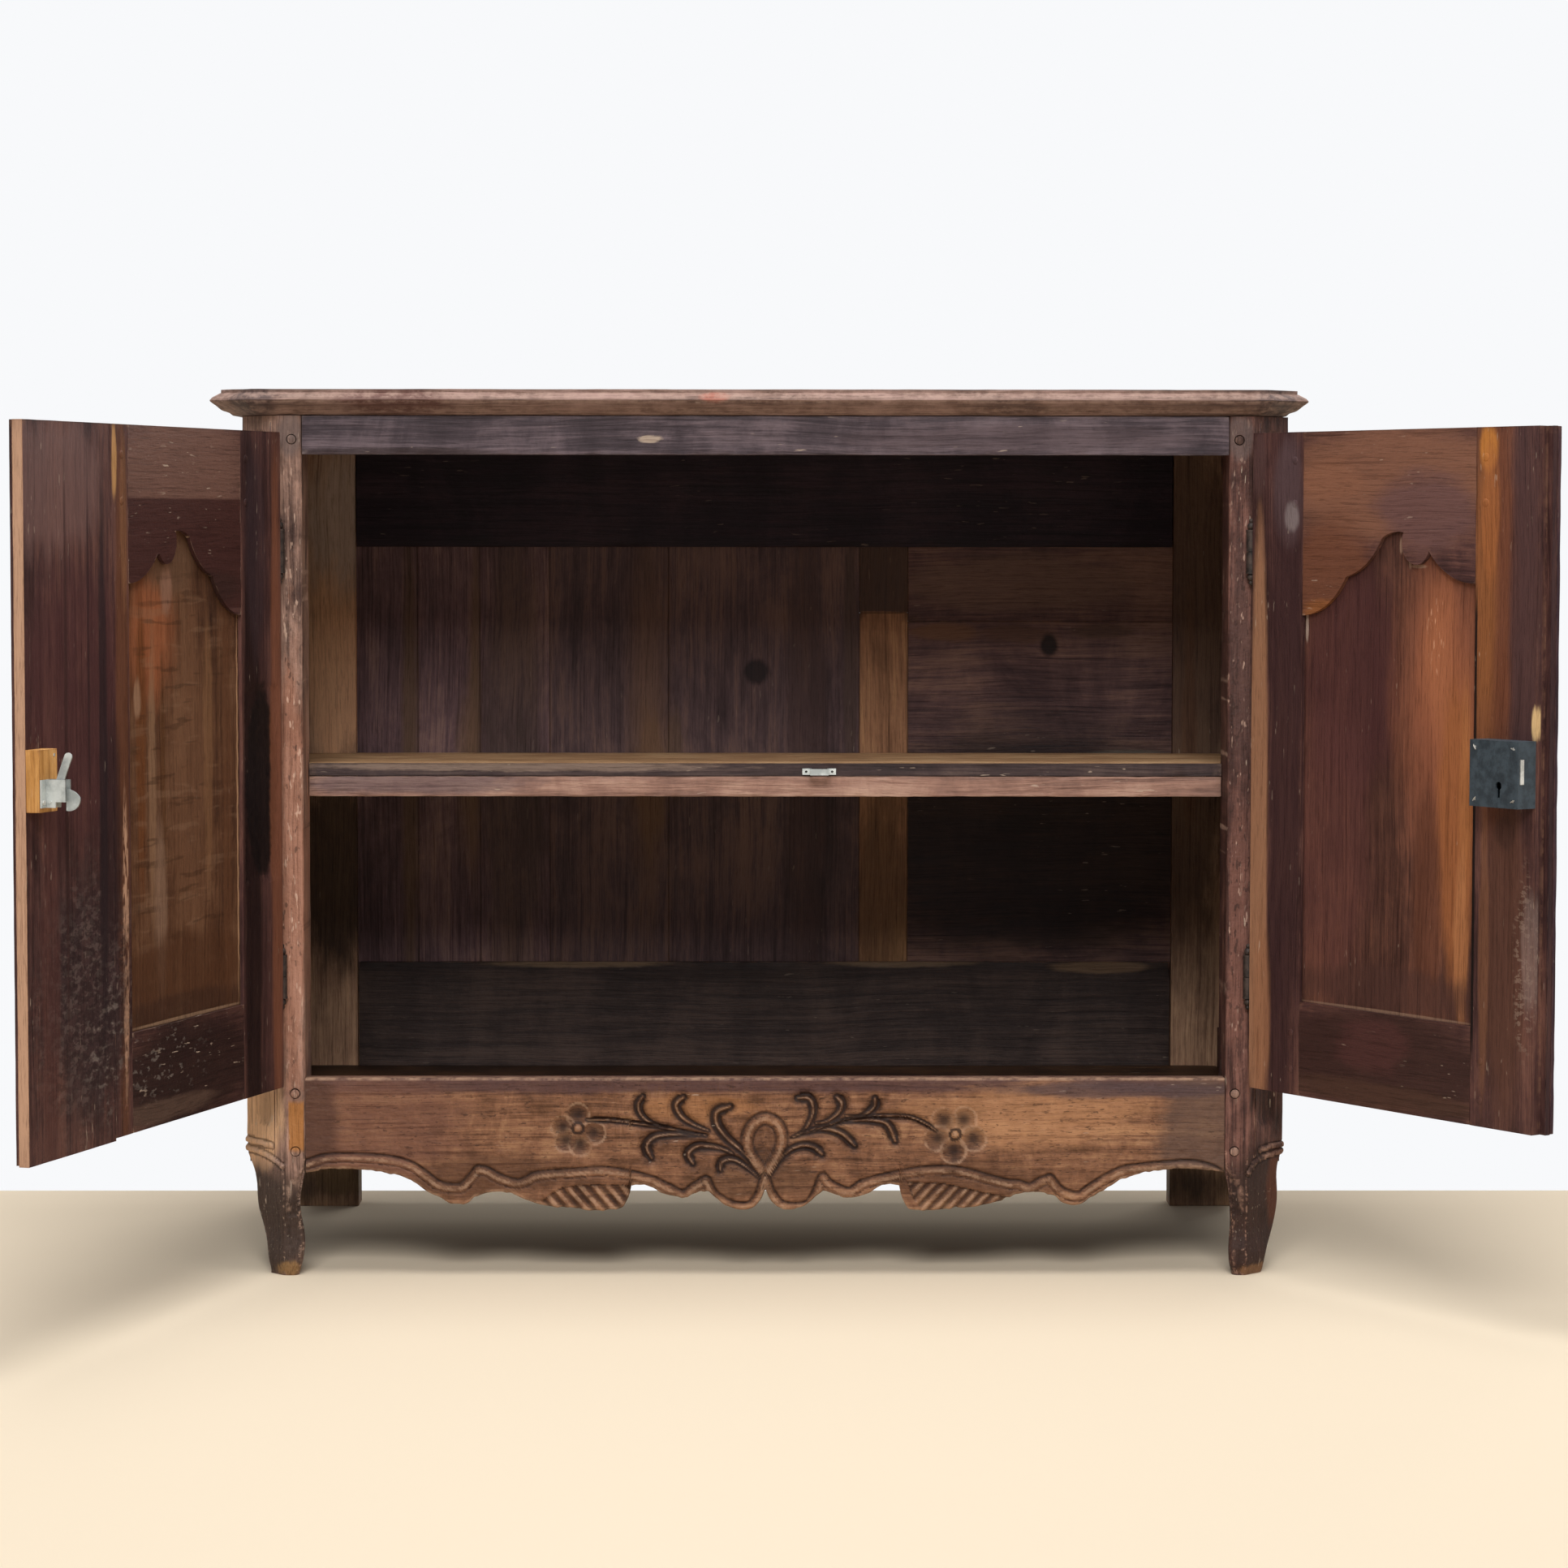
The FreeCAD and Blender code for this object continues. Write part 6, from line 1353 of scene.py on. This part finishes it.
def fastenerGrowth():
    growth = Growth("fasteners", {
        "Head Radius": "Float", "Head Height": "Float", "Shank Radius": "Float", "Slotted": "Bool",
        "Sides": "Int", "Seed": "Int", "Finish": "Material"})
    given = growth.given
    ball = growth.node("GeometryNodeMeshUVSphere", {
        "Segments": headShape["segments"], "Rings": headShape["rings"], "Radius": given["Head Radius"]})
    flat = growth.math("DIVIDE", given["Head Height"], given["Head Radius"])
    head = growth.node("GeometryNodeTransform", {
        "Geometry": ball.outputs[0], "Scale": growth.joined(1.0, 1.0, flat)}).outputs[0]
    slotWide = growth.math("MULTIPLY", given["Head Radius"], headShape["slotWide"])
    slotLong = growth.math("MULTIPLY", given["Head Radius"], headShape["slotLong"])
    slot = growth.node("GeometryNodeMeshCube", {
        "Size": growth.joined(slotLong, slotWide, given["Head Height"])}).outputs[0]
    raised = growth.node("GeometryNodeTransform", {
        "Geometry": slot, "Translation": growth.joined(0.0, 0.0, given["Head Height"])}).outputs[0]
    cut = growth.node("GeometryNodeMeshBoolean", {"Mesh 1": head, "Mesh 2": raised}, operation="DIFFERENCE")
    chosen = growth.node("GeometryNodeSwitch", {
        "Switch": given["Slotted"], "False": head, "True": cut.outputs[0]}, input_type="GEOMETRY").outputs[0]
    rod = growth.node("GeometryNodeMeshCylinder", {
        "Vertices": given["Sides"], "Radius": given["Shank Radius"], "Depth": 1.0}).outputs[0]
    shank = growth.node("GeometryNodeTransform", {"Geometry": rod, "Translation": (0, 0, -0.5)}).outputs[0]
    reach = growth.spotValue("reach", "FLOAT")
    spin = growth.node("FunctionNodeRandomValue", {"Min": 0.0, "Max": 3.1, "Seed": given["Seed"]},
                       data_type="FLOAT")
    twist = growth.node("FunctionNodeEulerToRotation",
                        {0: growth.joined(0.0, 0.0, spin.outputs[1])}).outputs[0]
    pose = growth.node("FunctionNodeRotateRotation", {0: growth.turned(), 1: twist},
                       rotation_space="LOCAL").outputs[0]
    points = given["Geometry"]
    heads = growth.node("GeometryNodeInstanceOnPoints", {
        "Points": points, "Instance": chosen, "Rotation": pose})
    shanks = growth.node("GeometryNodeInstanceOnPoints", {
        "Points": points, "Instance": shank, "Rotation": pose, "Scale": growth.joined(1.0, 1.0, reach)})
    both = growth.node("GeometryNodeJoinGeometry")
    growth.feed(both.inputs[0], heads.outputs[0])
    growth.feed(both.inputs[0], shanks.outputs[0])
    growth.end(both.outputs[0])
    return growth


fasteners = {
    "front_pegs": {"name": "postPegs", "ways": (-1,), "headRadius": 5.2, "headHeight": 1.1, "shank": 4.6,
                   "slotted": False, "sides": 9, "seed": 3},
    "left_door_pegs": {"name": "leftDoorPegs", "ways": (-1, 1), "headRadius": 4.6, "headHeight": 0.8,
                       "shank": 4.2, "slotted": False, "sides": 9, "seed": 5},
    "right_door_pegs": {"name": "rightDoorPegs", "ways": (-1, 1), "headRadius": 4.6, "headHeight": 0.8,
                        "shank": 4.2, "slotted": False, "sides": 9, "seed": 7},
    "lock_screws": {"name": "lockScrews", "ways": (1,), "headRadius": 3.9, "headHeight": 1.6, "slotted": True,
                    "sides": 12, "seed": 11},
    "strike_screws": {"name": "strikeScrews", "ways": None, "headHeight": 1.2, "slotted": True, "sides": 12,
                      "seed": 13},
}


def looseBoxes(node, matrix):
    # low and high corners of each separate solid of a node, in a local frame
    mesh = looseCopy(node, matrix)
    left = set(mesh.verts)
    boxes = []
    while left:
        front = [left.pop()]
        found = list(front)
        while front:
            vertex = front.pop()
            for edge in vertex.link_edges:
                other = edge.other_vert(vertex)
                if other in left:
                    left.remove(other)
                    front.append(other)
                    found.append(other)
        boxes.append([Vector([pick(v.co[axis] for v in found) for axis in range(3)]) for pick in (min, max)])
    mesh.free()
    return boxes


def makeFasteners(growth, node, look):
    matrix = frameOf(node)
    turn = matrix.to_3x3()
    headHeight = look["headHeight"] * millimetre
    spots = []
    for low, high in looseBoxes(node, matrix):
        size = high - low
        if look["ways"] is None:  # upright screws, heads on top
            place = (low + high) / 2
            place.z = high.z - headHeight
            spots.append((matrix @ place, turn @ Vector((0, 0, 1)), size.z - headHeight))
        else:
            for side in look["ways"]:
                place = (low + high) / 2
                edge = high.y if side > 0 else low.y
                proud = headHeight if look["slotted"] else pegProud
                place.y = edge - side * proud
                spots.append((matrix @ place, turn @ Vector((0, side, 0)),
                              size.y / len(look["ways"]) - proud))
    piece = growth.grow(look["name"], spots, {
        "Head Radius": look["headRadius"] * millimetre if "headRadius" in look else size.x / 2,
        "Head Height": headHeight,
        "Shank Radius": look["shank"] * millimetre if "shank" in look else size.x / 4,
        "Slotted": look["slotted"], "Sides": look["sides"], "Seed": look["seed"],
        "Finish": finishes[finishOf[node]]})
    return settle(piece, node)


fastener = fastenerGrowth()
for nodeName, look in fasteners.items():
    makeFasteners(fastener, nodeName, look)
print("pegs and screws made")


# Catch spring: a wound wire about the lever's pin
springShape = {"wire": 0.55, "turns": 4.0, "turnSides": 20, "wireSides": 8}


def woundSpring():
    growth = Growth("woundSpring", {
        "Coil Radius": "Float", "Wire Radius": "Float", "Turns": "Float", "Width": "Float",
        "Finish": "Material"})
    given = growth.given
    spiral = growth.node("GeometryNodeCurveSpiral", {
        "Resolution": springShape["turnSides"], "Rotations": given["Turns"],
        "Start Radius": given["Coil Radius"], "End Radius": given["Coil Radius"], "Height": given["Width"]})
    ring = growth.node("GeometryNodeCurvePrimitiveCircle", {
        "Resolution": springShape["wireSides"], "Radius": given["Wire Radius"]})
    wire = growth.node("GeometryNodeCurveToMesh", {
        "Curve": spiral.outputs[0], "Profile Curve": ring.outputs[0], "Fill Caps": True})
    placed = growth.node("GeometryNodeInstanceOnPoints", {
        "Points": given["Geometry"], "Instance": wire.outputs[0], "Rotation": growth.turned()})
    growth.end(placed.outputs[0])
    matrix = frameOf("catch_spring")
    low, high = looseBoxes("catch_spring", matrix)[0]
    wireRadius = springShape["wire"] * millimetre
    start = Vector((low.x + wireRadius, (low.y + high.y) / 2, (low.z + high.z) / 2))
    piece = growth.grow("catchSpring", [(matrix @ start, matrix.to_3x3() @ Vector((1, 0, 0)), 0)], {
        "Coil Radius": (high.z - low.z) / 2 - wireRadius, "Wire Radius": wireRadius,
        "Turns": springShape["turns"], "Width": high.x - low.x - 2 * wireRadius,
        "Finish": finishes["platedScrew"]})
    return settle(piece, "catch_spring")


woundSpring()
print("spring made")


# Floor and wall, pale and plain
stageSetup = {
    "floorTone": "e5d5bd", "wallTone": "f8f9fb", "wallLine": 0.685, "reach": 6.0,
    "fill": (0.96, 0.97, 1.0, 1), "fillStrength": 0.25,
}


def stageSheet(name, corners, tone, shown):
    data = bpy.data.meshes.new(name)
    data.from_pydata(corners, [], [(0, 1, 2, 3)])
    made = bpy.data.objects.new(name, data)
    bpy.context.scene.collection.objects.link(made)
    tree = Tree(name)
    if shown == "plain":
        tree.finish(tint(tone), roughness=0.9, height=0.5, bumpDepth=0.0001, specular=0.0)
    else:
        glow = tree.node("ShaderNodeEmission", {"Color": tint(tone), "Strength": 1.0})
        clear = tree.node("ShaderNodeBsdfTransparent")
        side = tree.node("ShaderNodeNewGeometry").outputs["Backfacing"]
        mixed = tree.node("ShaderNodeMixShader", {0: side, 1: glow.outputs[0], 2: clear.outputs[0]})
        tree.node("ShaderNodeOutputMaterial", {"Surface": mixed.outputs[0]})
    data.materials.append(tree.material)
    return made


reach, wallLine = stageSetup["reach"], stageSetup["wallLine"]
stageSheet("stageFloor", [(-reach, -reach, 0), (reach, -reach, 0), (reach, reach, 0), (-reach, reach, 0)],
           stageSetup["floorTone"], "plain")
wall = stageSheet("stageWall", [(-reach, wallLine, 0), (reach, wallLine, 0), (reach, wallLine, reach),
                                (-reach, wallLine, reach)], stageSetup["wallTone"], "glow")
for way in ("visible_diffuse", "visible_glossy", "visible_transmission", "visible_shadow"):
    setattr(wall, way, False)


# Soft studio light
lamps = {
    "ceilingLamp": {"place": (0, -0.3, 3.6), "aim": (0, -0.3, 0.2), "size": 2.4, "power": 95},
    "frontLamp": {"place": (-0.5, -11.0, 7.9), "aim": (0, 0, 0.5), "size": 5.2, "power": 1260},
    "backLamp": {"place": (1.5, 4.5, 3.0), "aim": (0, 0, 0.6), "size": 3.0, "power": 60},
}
for lampName, lamp in lamps.items():
    data = bpy.data.lights.new(lampName, "AREA")
    data.size = lamp["size"]
    data.energy = lamp["power"]
    made = bpy.data.objects.new(lampName, data)
    bpy.context.scene.collection.objects.link(made)
    made.location = lamp["place"]
    made.rotation_mode = "QUATERNION"
    made.rotation_quaternion = (Vector(lamp["aim"]) - Vector(lamp["place"])).to_track_quat("-Z", "Y")
world = bpy.data.worlds.new("studioWorld")
world.use_nodes = True
sky = Graph()
sky.tree = world.node_tree
sky.tree.nodes.clear()
glow = sky.node("ShaderNodeBackground", {
    "Color": stageSetup["fill"], "Strength": stageSetup["fillStrength"]})
shown = sky.node("ShaderNodeBackground", {"Color": tint(stageSetup["wallTone"]), "Strength": 1.0})
ray = sky.node("ShaderNodeLightPath").outputs
mirrored = sky.math("MAXIMUM", ray["Is Glossy Ray"], ray["Is Transmission Ray"])
seen = sky.math("MAXIMUM", ray["Is Camera Ray"], mirrored)
both = sky.node("ShaderNodeMixShader", {0: seen, 1: glow.outputs[0], 2: shown.outputs[0]})
sky.node("ShaderNodeOutputWorld", {"Surface": both.outputs[0]})
bpy.context.scene.world = world
bpy.context.scene.view_settings.view_transform = "Standard"
print("stage lit")
